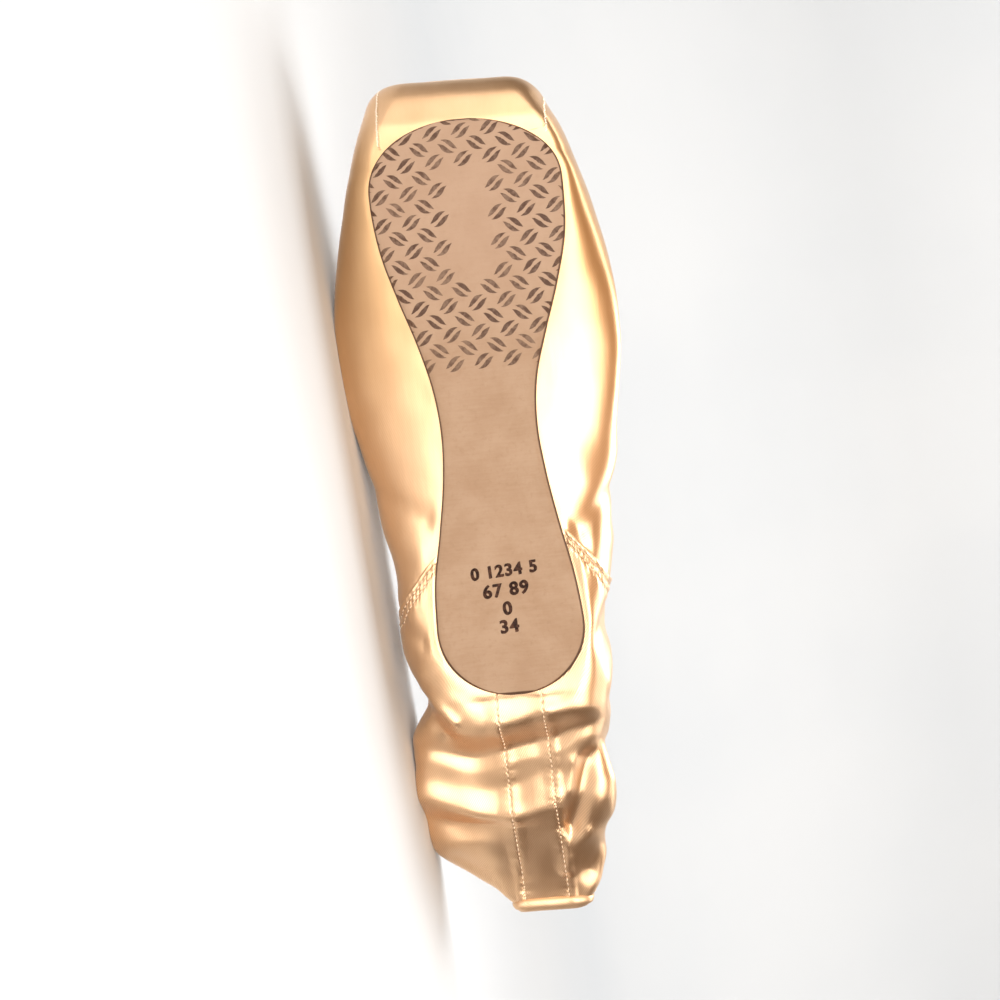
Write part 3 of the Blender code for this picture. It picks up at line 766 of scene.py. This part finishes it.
def satin_finish(name, light, dark, twill_pitch=0.00095, shine=0.32, sewn_upper=True):
    """Warp-faced satin: fine diagonal rib, long threads, puckers at its seams, a metal-like gloss."""
    f = Finish(name, Metallic=0.92, Specular_IOR_Level=0.9, Sheen_Weight=0.08, Sheen_Roughness=0.4)
    f.shader.inputs["Sheen Tint"].default_value = (1.0, 0.90, 0.78, 1)
    at, u, v = f.chart()
    rib = f.wave(u * 0.8 - v, twill_pitch)
    threads = f.noise(f.stretched(at, (260, 5200, 1)), 1.0, 1.0)
    fibres = f.noise(f.stretched(at, (4200, 700, 1), 0.6), 1.0, 1.0)
    cloud = f.noise(at, 38.0, 3.0, 0.6)
    drawn = f.noise(f.stretched(at, (55, 420, 1)), 1.0, 2.0, 0.55)
    away = 0.0 if sewn_upper else 0.03
    behind, beside, band = f.mark("quarter") + away, f.mark("strip") + away, f.mark("band") + away
    first, second = [f.near(behind, row, 0.0011) for row in QUARTER_ROWS]
    sewn = f.near(beside, 0.0, 0.0009)
    whipped = f.near(band, 0.0, 0.0011)
    stitch = f.wave(v, QUARTER_PITCH)
    backstitch = f.wave(u, STRIP_PITCH)
    whip = f.wave(u, 0.00085)
    quarter_holes = (first + second) * (0.45 + stitch * 0.55)
    quarter_swell = f.near(behind, 0.0050, 0.0062) * stitch
    strip_holes = sewn * (0.12 + backstitch ** 2.0 * 0.88)
    strip_swell = f.near(beside, 0.0, 0.0042) * backstitch
    slack = 0.35 + (1 - u.ramp(0.02, 0.10)) * 0.65
    tone = (cloud * 0.65 + threads * 0.2 + drawn * 0.15).ramp(0.32, 0.68)
    # Painted shade: from the waist over the toe box the satin is blended towards a darker colour, mostly
    # eased off near the toe's front; the darker colour is not a colour of the satin itself
    box_shade = u.ramp(0.08, 0.17) - u.ramp(0.215, 0.245) * 0.75
    stretched = tuple(c * d for c, d in zip(dark, (0.70, 0.64, 0.50)))
    cloth = f.blend(box_shade * 0.75, f.blend(tone, dark, light), stretched)
    # Painted shade: the satin is darkened in the stitch holes of the quarter and the back strip and along the
    # whipped seams of the toe band
    depth = (quarter_holes * 0.55 + strip_holes * 0.5 + whipped * 0.25).least(0.75)
    ribbed = f.blend(rib * slack * 0.42, cloth, tuple(0.62 * c for c in dark))
    f.set("Base Color", f.blend(depth, ribbed, tuple(0.32 * c for c in dark)))
    f.set("Roughness", shine + (fibres - 0.5) * 0.06 + (cloud - 0.5) * 0.06 + depth * 0.25)
    weave = (rib * 0.000060 + threads * 0.000009) * slack + fibres * 0.000003 + drawn * 0.00004
    seams = quarter_swell * 0.00022 - quarter_holes * 0.00036 + strip_swell * 0.00007 - strip_holes * 0.0002
    f.bump(weave + seams + whip * whipped * 0.00012, 1.0, 1.0)
    return f.material


def lining_finish():
    """Unbleached cotton drill inside the upper."""
    f = Finish("cotton_lining", Roughness=0.92)
    at, u, v = f.chart()
    cloud = f.noise(at, 60.0, 3.0, 0.6)
    slub = f.noise(f.stretched(at, (150, 2600, 1)), 1.0, 2.0)
    tone = (cloud * 0.6 + slub * 0.4).ramp(0.3, 0.7)
    f.set("Base Color", f.blend(tone, (0.58, 0.44, 0.32), (0.74, 0.61, 0.47)))
    f.bump(f.weave(u, v, 0.0008) * 0.7 + slub * 0.5, 0.00012, 0.6)
    return f.material


def sock_finish():
    """Close cotton sock lining over the insole board."""
    f = Finish("sock_lining", Roughness=0.9)
    at, u, v = f.chart()
    cloud = f.noise(at, 45.0, 4.0, 0.6)
    f.set("Base Color", f.blend(cloud.ramp(0.3, 0.75), (0.66, 0.50, 0.38), (0.80, 0.66, 0.52)))
    f.bump(f.weave(u, v, 0.0007) + cloud * 0.6, 0.0001, 0.5)
    return f.material


def tread_finish():
    """Undyed split leather with a stamped pattern of paired dashes under the ball."""
    f = Finish("sole_leather_tread", Specular_IOR_Level=0.25)
    at, along, across = f.chart()
    pores = f.noise(at, 2600.0, 2.0, 0.6)
    grain = f.noise(at, 420.0, 4.0, 0.65)
    cloud = f.noise(at, 55.0, 4.0, 0.6)
    drag = f.noise(f.stretched(at, (900, 90, 1), 0.2), 1.0, 3.0, 0.6)
    pale = f.blend((cloud * 0.75 + drag * 0.25).ramp(0.32, 0.68), (0.30, 0.186, 0.112), (0.35, 0.232, 0.150))
    leather = f.blend(grain.ramp(0.50, 0.78) * 0.35, pale, (0.24, 0.145, 0.085))
    pink = f.blend(along.ramp(0.10, 0.20) * 0.5, leather, (0.37, 0.242, 0.170))
    # Pairs of dashes turn by a quarter from cell to cell of a slanting lattice
    cell = 0.0083
    slanting = 0.7071
    x = (along + across) * (slanting / cell)
    y = (along - across) * (slanting / cell)
    a = x - x.whole() - 0.5
    b = y - y.whole() - 0.5
    odd = (x.whole() + y.whole()) * 0.5
    odd = (odd - odd.whole()) * 2.0
    lengthwise = a + (b - a) * odd
    sidewise = b + (a - b) * odd
    wobble = (grain - 0.5) * 0.10
    square = lengthwise * lengthwise
    half = 0.118 - square * 0.52
    swept = sidewise + square * lengthwise * 0.9
    off_line = swept.size() - 0.185 + square * 0.30 + wobble
    dash = (half - off_line.size()).ramp(-0.012, 0.022)
    mid_x = (x.whole() + 0.5) * (cell * slanting)
    mid_y = (y.whole() + 0.5) * (cell * slanting)
    mid_along = mid_x + mid_y
    mid_across = mid_x - mid_y
    strip = mid_across.size().below(0.0075) * mid_along.above(0.166) * mid_along.below(0.214)
    stamped = dash * mid_along.above(0.1335) * (1 - strip)
    wear = (cloud * 0.5 + grain * 0.5).ramp(0.36, 0.60)
    ink = stamped * (0.55 + wear * 0.42)
    printed = f.blend(ink, pink, (0.060, 0.024, 0.012))
    # Dark line round the tread's edge, wider towards the heel end: partly the leather's own dark cut edge,
    # partly painted shadow of the thin gap along the edge
    from_edge = f.mark("from_edge") + (grain - 0.5) * 0.0003
    rim = 0.0007 + (1 - along.ramp(0.0, 0.03)) * 0.0009
    dark_edge_and_shadow = 1 - (from_edge - rim).ramp(-0.0003, 0.00025)
    f.set("Base Color", f.blend(dark_edge_and_shadow * 0.9, printed, (0.055, 0.024, 0.013)))
    f.set("Roughness", 0.66 + (grain - 0.5) * 0.3 - stamped * 0.12)
    f.bump(grain * 0.5 + pores * 0.3 + drag * 0.3 - stamped * 0.9, 0.00013, 0.6)
    return f.material


def edge_finish():
    """Dark cut edge of the sole: burnished leather, darkened further as painted shadow of the thin gap along
    the edge.
    """
    f = Finish("sole_leather_edge", Roughness=0.6, Specular_IOR_Level=0.3)
    grain = f.noise(f.chart()[0], 900.0, 3.0)
    f.set("Base Color", f.blend(grain.ramp(0.3, 0.7), (0.085, 0.035, 0.018), (0.20, 0.095, 0.05)))
    f.bump(grain, 0.0001, 0.5)
    return f.material


def ink_finish():
    """Stamped ink, sunk into the leather's grain."""
    f = Finish("stamp_ink", Roughness=0.7, Specular_IOR_Level=0.2)
    grain = f.noise(f.inside(), 900.0, 3.0)
    f.set("Base Color", f.blend(grain.ramp(0.35, 0.7), (0.022, 0.008, 0.005), (0.075, 0.030, 0.016)))
    return f.material


def thread_finish(name, light, dark):
    f = Finish(name, Roughness=0.5, Sheen_Weight=0.3)
    twist = f.noise(f.inside(), 2400.0, 1.0)
    f.set("Base Color", f.blend(twist.ramp(0.35, 0.65), dark, light))
    f.bump(twist, 0.00008, 0.5)
    return f.material


def stage_finish():
    """Matt pale paper of the floor and backdrop."""
    f = Finish("pale_paper", Roughness=0.75, Specular_IOR_Level=0.2)
    cloud = f.noise(f.inside(), 3.0, 3.0)
    f.set("Base Color", f.blend(cloud.ramp(0.3, 0.7), (0.60, 0.62, 0.64), (0.63, 0.645, 0.66)))
    f.set("Roughness", 0.7 + cloud * 0.1)
    return f.material


SATIN = satin_finish("satin_peach", (0.84, 0.555, 0.335), (0.78, 0.495, 0.285))
TAPE = satin_finish("binding_satin_peach", (0.86, 0.59, 0.37), (0.80, 0.53, 0.32), 0.0011, 0.46, False)
LINING = lining_finish()
SOCK = sock_finish()
TREAD = tread_finish()
EDGE = edge_finish()
INK = ink_finish()
THREAD = thread_finish("peach_thread", (0.95, 0.76, 0.55), (0.72, 0.48, 0.30))
PALE_THREAD = thread_finish("pale_thread", (0.98, 0.90, 0.78), (0.85, 0.70, 0.52))

SKINS = [dressed_side(side) for side in (0, 1)]
# Where the two sides meet on the middle line they share their places
for row, meets in ((0, sole_half(STATIONS, 0, FLANGE) < 0.00002), (-1, STATIONS > THROAT)):
    shared = (SKINS[0][0][meets, row] + SKINS[1][0][meets, row]) / 2
    SKINS[0][0][meets, row] = shared
    SKINS[1][0][meets, row] = shared


def upper_mesh():
    """The upper's outer skin, closed at the platform, as a mesh with its edges where it is open."""
    bm = bmesh.new()
    for world, run, marks in SKINS:
        cloth_grid(bm, world, np.stack(np.broadcast_arrays(STATIONS[:, None], run), axis=-1), marks)
    left, right = SKINS[0][0][0], SKINS[1][0][0]
    t = np.linspace(0, 1, 34)
    platform = left[:, None] * (1 - t)[None, :, None] + right[:, None] * t[None, :, None]
    rise = np.sin(np.linspace(0, pi, len(left)))[:, None] * np.sin(pi * t)[None, :]
    platform[..., 0] -= 0.0005 * rise
    chart = np.stack([platform[..., 1] + TOE_TIP, platform[..., 2]], axis=-1)
    off = np.full(platform.shape[:2], 0.03)
    cloth_grid(bm, platform, chart, {"quarter": off - 0.06, "strip": off, "band": off})
    close_up(bm, 0.00002, 0.00001)
    high = max(bm.faces, key=lambda face: face.calc_center_median().z)
    if high.normal.z < 0:
        bmesh.ops.reverse_faces(bm, faces=bm.faces)
    return bm


def make_upper():
    piece = new_piece("satin_upper", upper_mesh(), (SATIN, LINING))
    wall = piece.modifiers.new("wall", "SOLIDIFY")
    wall.thickness = UPPER_WALL
    wall.offset = -1
    wall.use_even_offset = False
    wall.material_offset = 1
    wall.material_offset_rim = 0
    return piece


def plate_mesh(inset, tread_of, thickness, skive):
    """A leather or board plate on the sole's outline, its outer edge skived."""
    count = 190
    start, end = inset + 0.0001, SOLE_LENGTH - inset - 0.0001
    middle, reach = (start + end) / 2, (end - start) / 2
    along = middle - reach * np.cos(pi * np.arange(count + 1) / count)
    ring = np.array([0.0, 0.0003, 0.0007, 0.0013, 0.0022, 0.0034])
    left, right = sole_half(along, 0, inset), sole_half(along, 1, inset)
    inner = np.linspace(0, 1, 23)
    rows = []
    for a, b in zip(left, right):
        near = np.minimum(ring, min(a, b) * np.linspace(0, 0.6, len(ring)))
        low, high = -a + near, b - near[::-1]
        rows.append(np.concatenate([low, low[-1] + (high[0] - low[-1]) * inner[1:-1], high]))
    across = np.array(rows)
    from_edge = np.minimum(across + left[:, None], right[:, None] - across)
    from_edge = np.minimum(from_edge, np.minimum(along - start, end - along)[:, None] * 1.3)
    skived = skive * (1 - ease(from_edge / SKIVE_WIDTH))
    place = along[:, None] - toe_skew(along)[:, None] * across
    tread = tread_of(along)[:, None]
    bm = bmesh.new()
    chart = np.stack([place, across], axis=-1)
    cloth_grid(bm, lay_down(place, across, tread + skived), chart, {"from_edge": from_edge})
    made = bmesh.ops.extrude_face_region(bm, geom=bm.faces[:])["geom"]
    for vert in only_verts(made):
        at = -(vert.co.x + CENTRE_X) * cos(FLOOR_ANGLE) + (vert.co.z + FLOOR_LEVEL) * sin(FLOOR_ANGLE)
        vert.co.y = float(tread_of(np.array(at))) + thickness - CENTRE_Y
    close_up(bm, 0.00001, 0.000005)
    return bm


def make_outsole():
    bm = plate_mesh(0.0, LIFT, SOLE_THICKNESS, SOLE_SKIVE)
    bm.normal_update()
    for face in bm.faces:
        if abs(face.normal.y) < 0.75:
            face.material_index = 1
    return new_piece("leather_outsole", bm, (TREAD, EDGE), sharp=0.9)


def make_sock():
    floor = SOLE_THICKNESS + UPPER_WALL + 2 * CLEARANCE
    bm = plate_mesh(INSOLE_INSET, lambda along: LIFT(along) + floor, INSOLE_THICKNESS, 0.0)
    return new_piece("sock_insole", bm, (SOCK,), sharp=0.9)


def collar_path():
    """Points round the collar's edge, from the throat by way of the back, and a finder of the
    upper's nearest face."""
    bm = upper_mesh()
    bm.normal_update()
    near_face = BVHTree.FromBMesh(bm)
    first = int(np.argmax(throat_share(STATIONS) > 0)) - 1
    left, right = SKINS[0][0], SKINS[1][0]
    loop = np.concatenate([left[first:, -1], left[-1, -2:0:-1], right[-1, :-1], right[:first:-1, -1]])
    points = [Vector(loop[0])]
    for point in loop[1:]:
        if (Vector(point) - points[-1]).length > CLOSEST:
            points.append(Vector(point))
    if (points[-1] - points[0]).length < CLOSEST:
        points.pop()
    bm.free()
    return points, near_face


def even_loop(points, step):
    """The same closed line with points at even steps."""
    ring = np.array([tuple(p) for p in points + points[:1]])
    runs = runs_along(ring)
    aim = np.linspace(0, runs[-1], int(runs[-1] / step), endpoint=False)
    even = np.stack([np.interp(aim, runs, ring[:, k]) for k in range(3)], axis=-1)
    for _ in range(3):
        even = (np.roll(even, 1, axis=0) + 2 * even + np.roll(even, -1, axis=0)) / 4
    return even, aim, runs[-1]


def evened(vectors):
    """Directions round a closed line, evened with their neighbours."""
    for _ in range(4):
        vectors = unit(np.roll(vectors, 1, axis=0) + vectors + np.roll(vectors, -1, axis=0))
    return vectors


def make_binding():
    """The drawstring casing: a gathered tape folded over the whole collar edge."""
    points, near_face = collar_path()
    ring, runs, total = even_loop(points, 0.0013)
    count = len(ring)
    normals, outs = [], []
    for i in range(count):
        normal = near_face.find_nearest(Vector(ring[i]))[1]
        run = Vector(ring[(i + 1) % count]) - Vector(ring[i - 1])
        normals.append(tuple(normal))
        outs.append(tuple(run.cross(normal).normalized()))
    normals, outs = evened(np.array(normals)), evened(np.array(outs))
    top = BINDING_GAP + BINDING_WALL
    reach = BINDING_REACH + 0.0006
    thick = UPPER_WALL + BINDING_GAP
    # The tape's section, from its outer hem over the edge to its inner hem: back from the edge, out
    profile = [(-reach, BINDING_GAP - 0.0002), (-reach + 0.0003, top * 0.75), (-reach * 0.72, top + 0.0002),
               (-reach * 0.45, top + 0.00035), (-reach * 0.2, top + 0.0002), (0.0004, top * 0.7),
               (0.0010, 0.0), (0.0012, -thick / 2), (0.0010, -thick), (0.0003, -thick - top * 0.8),
               (-reach * 0.3, -thick - top), (-reach * 0.7, -thick - top), (-reach, -thick - 0.0001)]
    rows = []
    for i in range(count + 1):
        k = i % count
        edge, normal, out = Vector(ring[k]), Vector(normals[k]), Vector(outs[k])
        gather = 1 + 0.12 * sin(2 * pi * round(total / 0.0062) * k / count)
        gather *= 1 + 0.15 * sin(2 * pi * round(total / 0.017) * k / count)
        row = []
        for back, rise in profile:
            foot = edge + out * back
            swell = 0.00016 * gather * max(0.0, sin(pi * min(1.0, -back / reach))) if back < 0 else 0.0
            if back < -0.001:
                foot = near_face.find_nearest(foot)[0]
            row.append(tuple(foot + normal * (rise + (swell if rise > -thick / 2 else -swell))))
        rows.append(row)
    width = np.linspace(0, 0.012, len(profile))
    chart = np.stack(np.broadcast_arrays(np.append(runs, total)[:, None], width), axis=-1)
    bm = bmesh.new()
    cloth_grid(bm, np.array(rows), chart)
    close_up(bm, 0.000005)
    for vert in bm.verts:
        vert.co.z = max(vert.co.z, 0.0)
    return new_piece("satin_collar_binding", bm, (TAPE,)), ring, normals, outs


def sew(bm, points, normals, pitch, length, girth, sink=0.25, slant=0.0):
    """Stitches along a line: short threads that dip into the cloth at both ends."""
    both = np.concatenate([points, normals], axis=1)
    runs = runs_along(points)
    for start in np.arange(pitch * 0.3, runs[-1] - length, pitch):
        ends = [np.array([np.interp(s, runs, both[:, k]) for k in range(6)]) for s in (start, start + length)]
        a, b = Vector(ends[0][:3]), Vector(ends[1][:3])
        up = Vector(ends[0][3:] + ends[1][3:]).normalized()
        run = (b - a).normalized()
        side = run.cross(up).normalized()
        run = (run * cos(slant) + side * sin(slant)).normalized()
        side = run.cross(up).normalized()
        up = side.cross(run)
        turn = Matrix((run, side, up)).transposed().to_4x4()
        place = Matrix.Translation((a + b) / 2 - up * girth * sink)
        size = Matrix.Diagonal((length * 0.56, girth, girth, 1))
        bmesh.ops.create_uvsphere(bm, u_segments=6, v_segments=4, radius=1, matrix=place @ turn @ size)


def skin_line(side, columns, rows):
    """World points and normals of a side's skin along fractional stations and rows."""
    world = SKINS[side][0]
    normal = outward(world, 1)
    columns, rows = np.broadcast_arrays(columns, rows)
    i = np.clip(columns.astype(int), 0, world.shape[0] - 2)
    j = np.clip(rows.astype(int), 0, world.shape[1] - 2)
    a, b = (columns - i)[:, None], (rows - j)[:, None]

    def read(grid):
        near = grid[i, j] * (1 - b) + grid[i, j + 1] * b
        far = grid[i + 1, j] * (1 - b) + grid[i + 1, j + 1] * b
        return near * (1 - a) + far * a

    points, normals = read(world), read(normal)
    from_axis = (points - (0.0, 0.0, MIDDLE[2])) * (0, 1, 1)
    if np.mean(np.sum(from_axis * normals, axis=1)) < 0:
        normals = -normals
    return points, normals


def column_at(station):
    return np.interp(-np.asarray(station, float), -STATIONS, np.arange(len(STATIONS)))


def row_at(side, columns, across):
    """Row of a side's skin where it lies a distance off the middle line, on the underside."""
    place = side_skin(side)[0]
    rows = []
    for column, aim in zip(columns, np.broadcast_to(across, columns.shape)):
        i = min(int(column), len(place) - 1)
        line = np.abs(place[i, :UNDER_ROWS + LOWER_ROWS + 1, 1])
        rows.append(float(np.interp(aim, line, np.arange(len(line)))))
    return np.array(rows)


def make_stitches(ring, normals, outs):
    """Running stitches of the seams and the casing, and the pale whipping of the toe band."""
    peach = bmesh.new()
    pale = bmesh.new()
    for side in (0, 1):
        rows = np.linspace(UNDER_ROWS + 1.5, SIDE_ROWS - 3, 160)
        for behind in QUARTER_ROWS:
            column = float(column_at(QUARTER_SEAM - behind))
            sew(peach, *skin_line(side, np.full(len(rows), column), rows), QUARTER_PITCH, 0.0017, 0.00028)
        columns = column_at(np.linspace(-0.0005, -HEEL_REACH + 0.004, 120))
        line = skin_line(side, columns, row_at(side, columns, STITCH_LINE))
        sew(peach, *line, STRIP_PITCH, 0.0015, 0.00029, sink=0.05)
        columns = column_at(np.linspace(0.2525, 0.2255, 40))
        line = skin_line(side, columns, row_at(side, columns, np.linspace(0.0338, 0.0342, 40)))
        sew(pale, *line, 0.00095, 0.0014, 0.00023, slant=0.75 if side else -0.75)
    ring, normals, outs = [np.append(values, values[:1], axis=0) for values in (ring, normals, outs)]
    sew(peach, ring - outs * 0.0034 + normals * 0.0011, normals, 0.0028, 0.0019, 0.00021)
    return new_piece("seam_stitches", peach, (THREAD,)), new_piece("toe_band_whipping", pale, (PALE_THREAD,))


def stamp_numbers():
    """Rows of plain numbers stamped into the seat of the sole."""
    made = bmesh.new()
    for text, at, size in (("0 1234 5", 0.0500, 0.0066), ("67 89", 0.0423, 0.0072),
                           ("0", 0.0348, 0.0072), ("34", 0.0276, 0.0072)):
        letters = bpy.data.curves.new("stamp", "FONT")
        letters.body = text
        letters.size = size
        letters.offset = 0.00018
        letters.space_character = 1.15
        letters.align_x = "CENTER"
        letters.align_y = "CENTER"
        holder = bpy.data.objects.new("stamp", letters)
        bpy.context.scene.collection.objects.link(holder)
        mesh = bpy.data.meshes.new_from_object(holder.evaluated_get(bpy.context.evaluated_depsgraph_get()))
        bpy.data.objects.remove(holder)
        # The stamp is struck three times, a hair apart
        for struck in (-0.00017, 0.0, 0.00017):
            before = len(made.verts)
            made.from_mesh(mesh)
            made.verts.ensure_lookup_table()
            for vert in made.verts[before:]:
                along = at + vert.co.y + 0.05 * vert.co.x + struck * 0.6
                across = vert.co.x - 0.0005 - 0.05 * vert.co.y + struck
                height = float(LIFT(along)) - 0.00006 - abs(struck) * 0.1
                vert.co = Vector(lay_down(along, across, height))
    bmesh.ops.recalc_face_normals(made, faces=made.faces)
    return new_piece("sole_stamp", made, (INK,))


def dress():
    upper = make_upper()
    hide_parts("upper")
    outsole = make_outsole()
    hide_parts("outsole")
    sock = make_sock()
    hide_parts("insole")
    binding, ring, normals, outs = make_binding()
    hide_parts("collar_binding")
    stitches, whipping = make_stitches(ring, normals, outs)
    stamp = stamp_numbers()
    for piece in (upper, outsole, sock, binding, stitches, whipping, stamp):
        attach(piece, "root")


def look_at(obj, place, aim, up):
    """Turns a camera or light at a place towards an aim, with a given way up."""
    back = (Vector(place) - Vector(aim)).normalized()
    right = Vector(up).cross(back).normalized()
    top = back.cross(right)
    turn = Matrix((right, top, back)).transposed().to_4x4()
    obj.matrix_world = Matrix.Translation(place) @ turn


def area_light(name, place, aim, width, height, watts, colour):
    data = bpy.data.lights.new(name, "AREA")
    data.shape = "RECTANGLE"
    data.size = width
    data.size_y = height
    data.energy = watts
    data.color = colour
    lamp = bpy.data.objects.new(name, data)
    bpy.context.scene.collection.objects.link(lamp)
    look_at(lamp, place, aim, (0.02, 0.01, 1.0))
    return lamp


def set_camera():
    """Half a metre off the tread face, toe up in the picture, as the photograph was taken."""
    data = bpy.data.cameras.new("view")
    data.lens = LENS
    data.sensor_width = SENSOR
    camera = bpy.data.objects.new("view", data)
    bpy.context.scene.collection.objects.link(camera)
    place = Vector(lay_down(0.0697, 0.0587, -0.505))
    aim = Vector(lay_down(0.0785, 0.0005, 0.004))
    look_at(camera, place, aim, turn_down(0.9947, 0.1033, 0.0))
    bpy.context.scene.camera = camera


def drawn_sheet(line, steps):
    """A sheet that a line of points draws as it moves by steps."""
    bm = bmesh.new()
    verts = [bm.verts.new(point) for point in line]
    edges = [bm.edges.new(pair) for pair in zip(verts, verts[1:])]
    for step in steps:
        made = bmesh.ops.extrude_edge_only(bm, edges=edges)["geom"]
        edges = [item for item in made if isinstance(item, bmesh.types.BMEdge)]
        bmesh.ops.translate(bm, verts=only_verts(made), vec=step)
    return bm


def set_stage():
    """One sheet of pale paper: floor, a curve and a backdrop."""
    curve = [(-3.5, 0.62 + 0.45 * sin(a), 0.45 - 0.45 * cos(a)) for a in np.linspace(0.12, pi / 2, 12)]
    bm = drawn_sheet([(-3.5, -3.0, 0.0), (-3.5, 0.62, 0.0), *curve, (-3.5, 1.07, 3.2)], [(7.0, 0.0, 0.0)])
    bmesh.ops.recalc_face_normals(bm, faces=bm.faces)
    floor = new_piece("paper_sweep", bm, (stage_finish(),))
    # A dark cloth past the heel, just out of the picture, keeps the folds' shadows deep
    line = [(x, -1.4, z) for x, z in ((0.070, 0.003), (0.95, 0.003), (1.0, 0.06), (1.0, 1.3))]
    bm = drawn_sheet(line, [(0.0, 0.90, 0.0), (0.0, 0.47, 0.0)])
    for vert in bm.verts:
        if vert.co.x < 0.1 and vert.co.y > -0.1:
            vert.co.x = 0.215
    dark = Finish("dark_cloth", Roughness=0.9)
    cloud = dark.noise(dark.inside(), 40.0, 2.0)
    dark.set("Base Color", dark.blend(cloud, (0.045, 0.020, 0.008), (0.075, 0.034, 0.014)))
    new_piece("dark_cloth", bm, (dark.material,))


def set_lights():
    area_light("window_low", (-0.065, -1.25, 0.235), MIDDLE, 1.79, 0.45, 18.2, DAYLIGHT)
    area_light("window_high", (0.42, -1.22, 0.60), MIDDLE, 0.85, 0.30, 5.6, DAYLIGHT)
    area_light("toe_window", (-1.05, -0.78, 0.36), MIDDLE, 0.5, 0.6, 2.9, DAYLIGHT)
    area_light("warm_top", (0.0, -0.60, 0.85), MIDDLE, 1.6, 1.3, 3.2, (0.95, 0.57, 0.28))
    area_light("backdrop_light", (0.0, 0.30, 1.8), (0.0, 1.0, 0.3), 4.0, 0.6, 47, (0.95, 0.98, 1.0))
    glow = area_light("floor_glow", (0.05, 0.24, 0.62), (0.05, -0.20, 0.0), 0.3, 0.3, 0.5, (1.0, 0.99, 0.97))
    glow.data.spread = radians(75)
    world = bpy.data.worlds.new("room")
    world.use_nodes = True
    tree = world.node_tree
    shade = tree.nodes["Background"]
    shade.inputs["Color"].default_value = (0.95, 0.62, 0.33, 1)
    shade.inputs["Strength"].default_value = 0.15
    bpy.context.scene.world = world
    bpy.context.scene.view_settings.view_transform = "Standard"


dress()
set_stage()
set_lights()
set_camera()
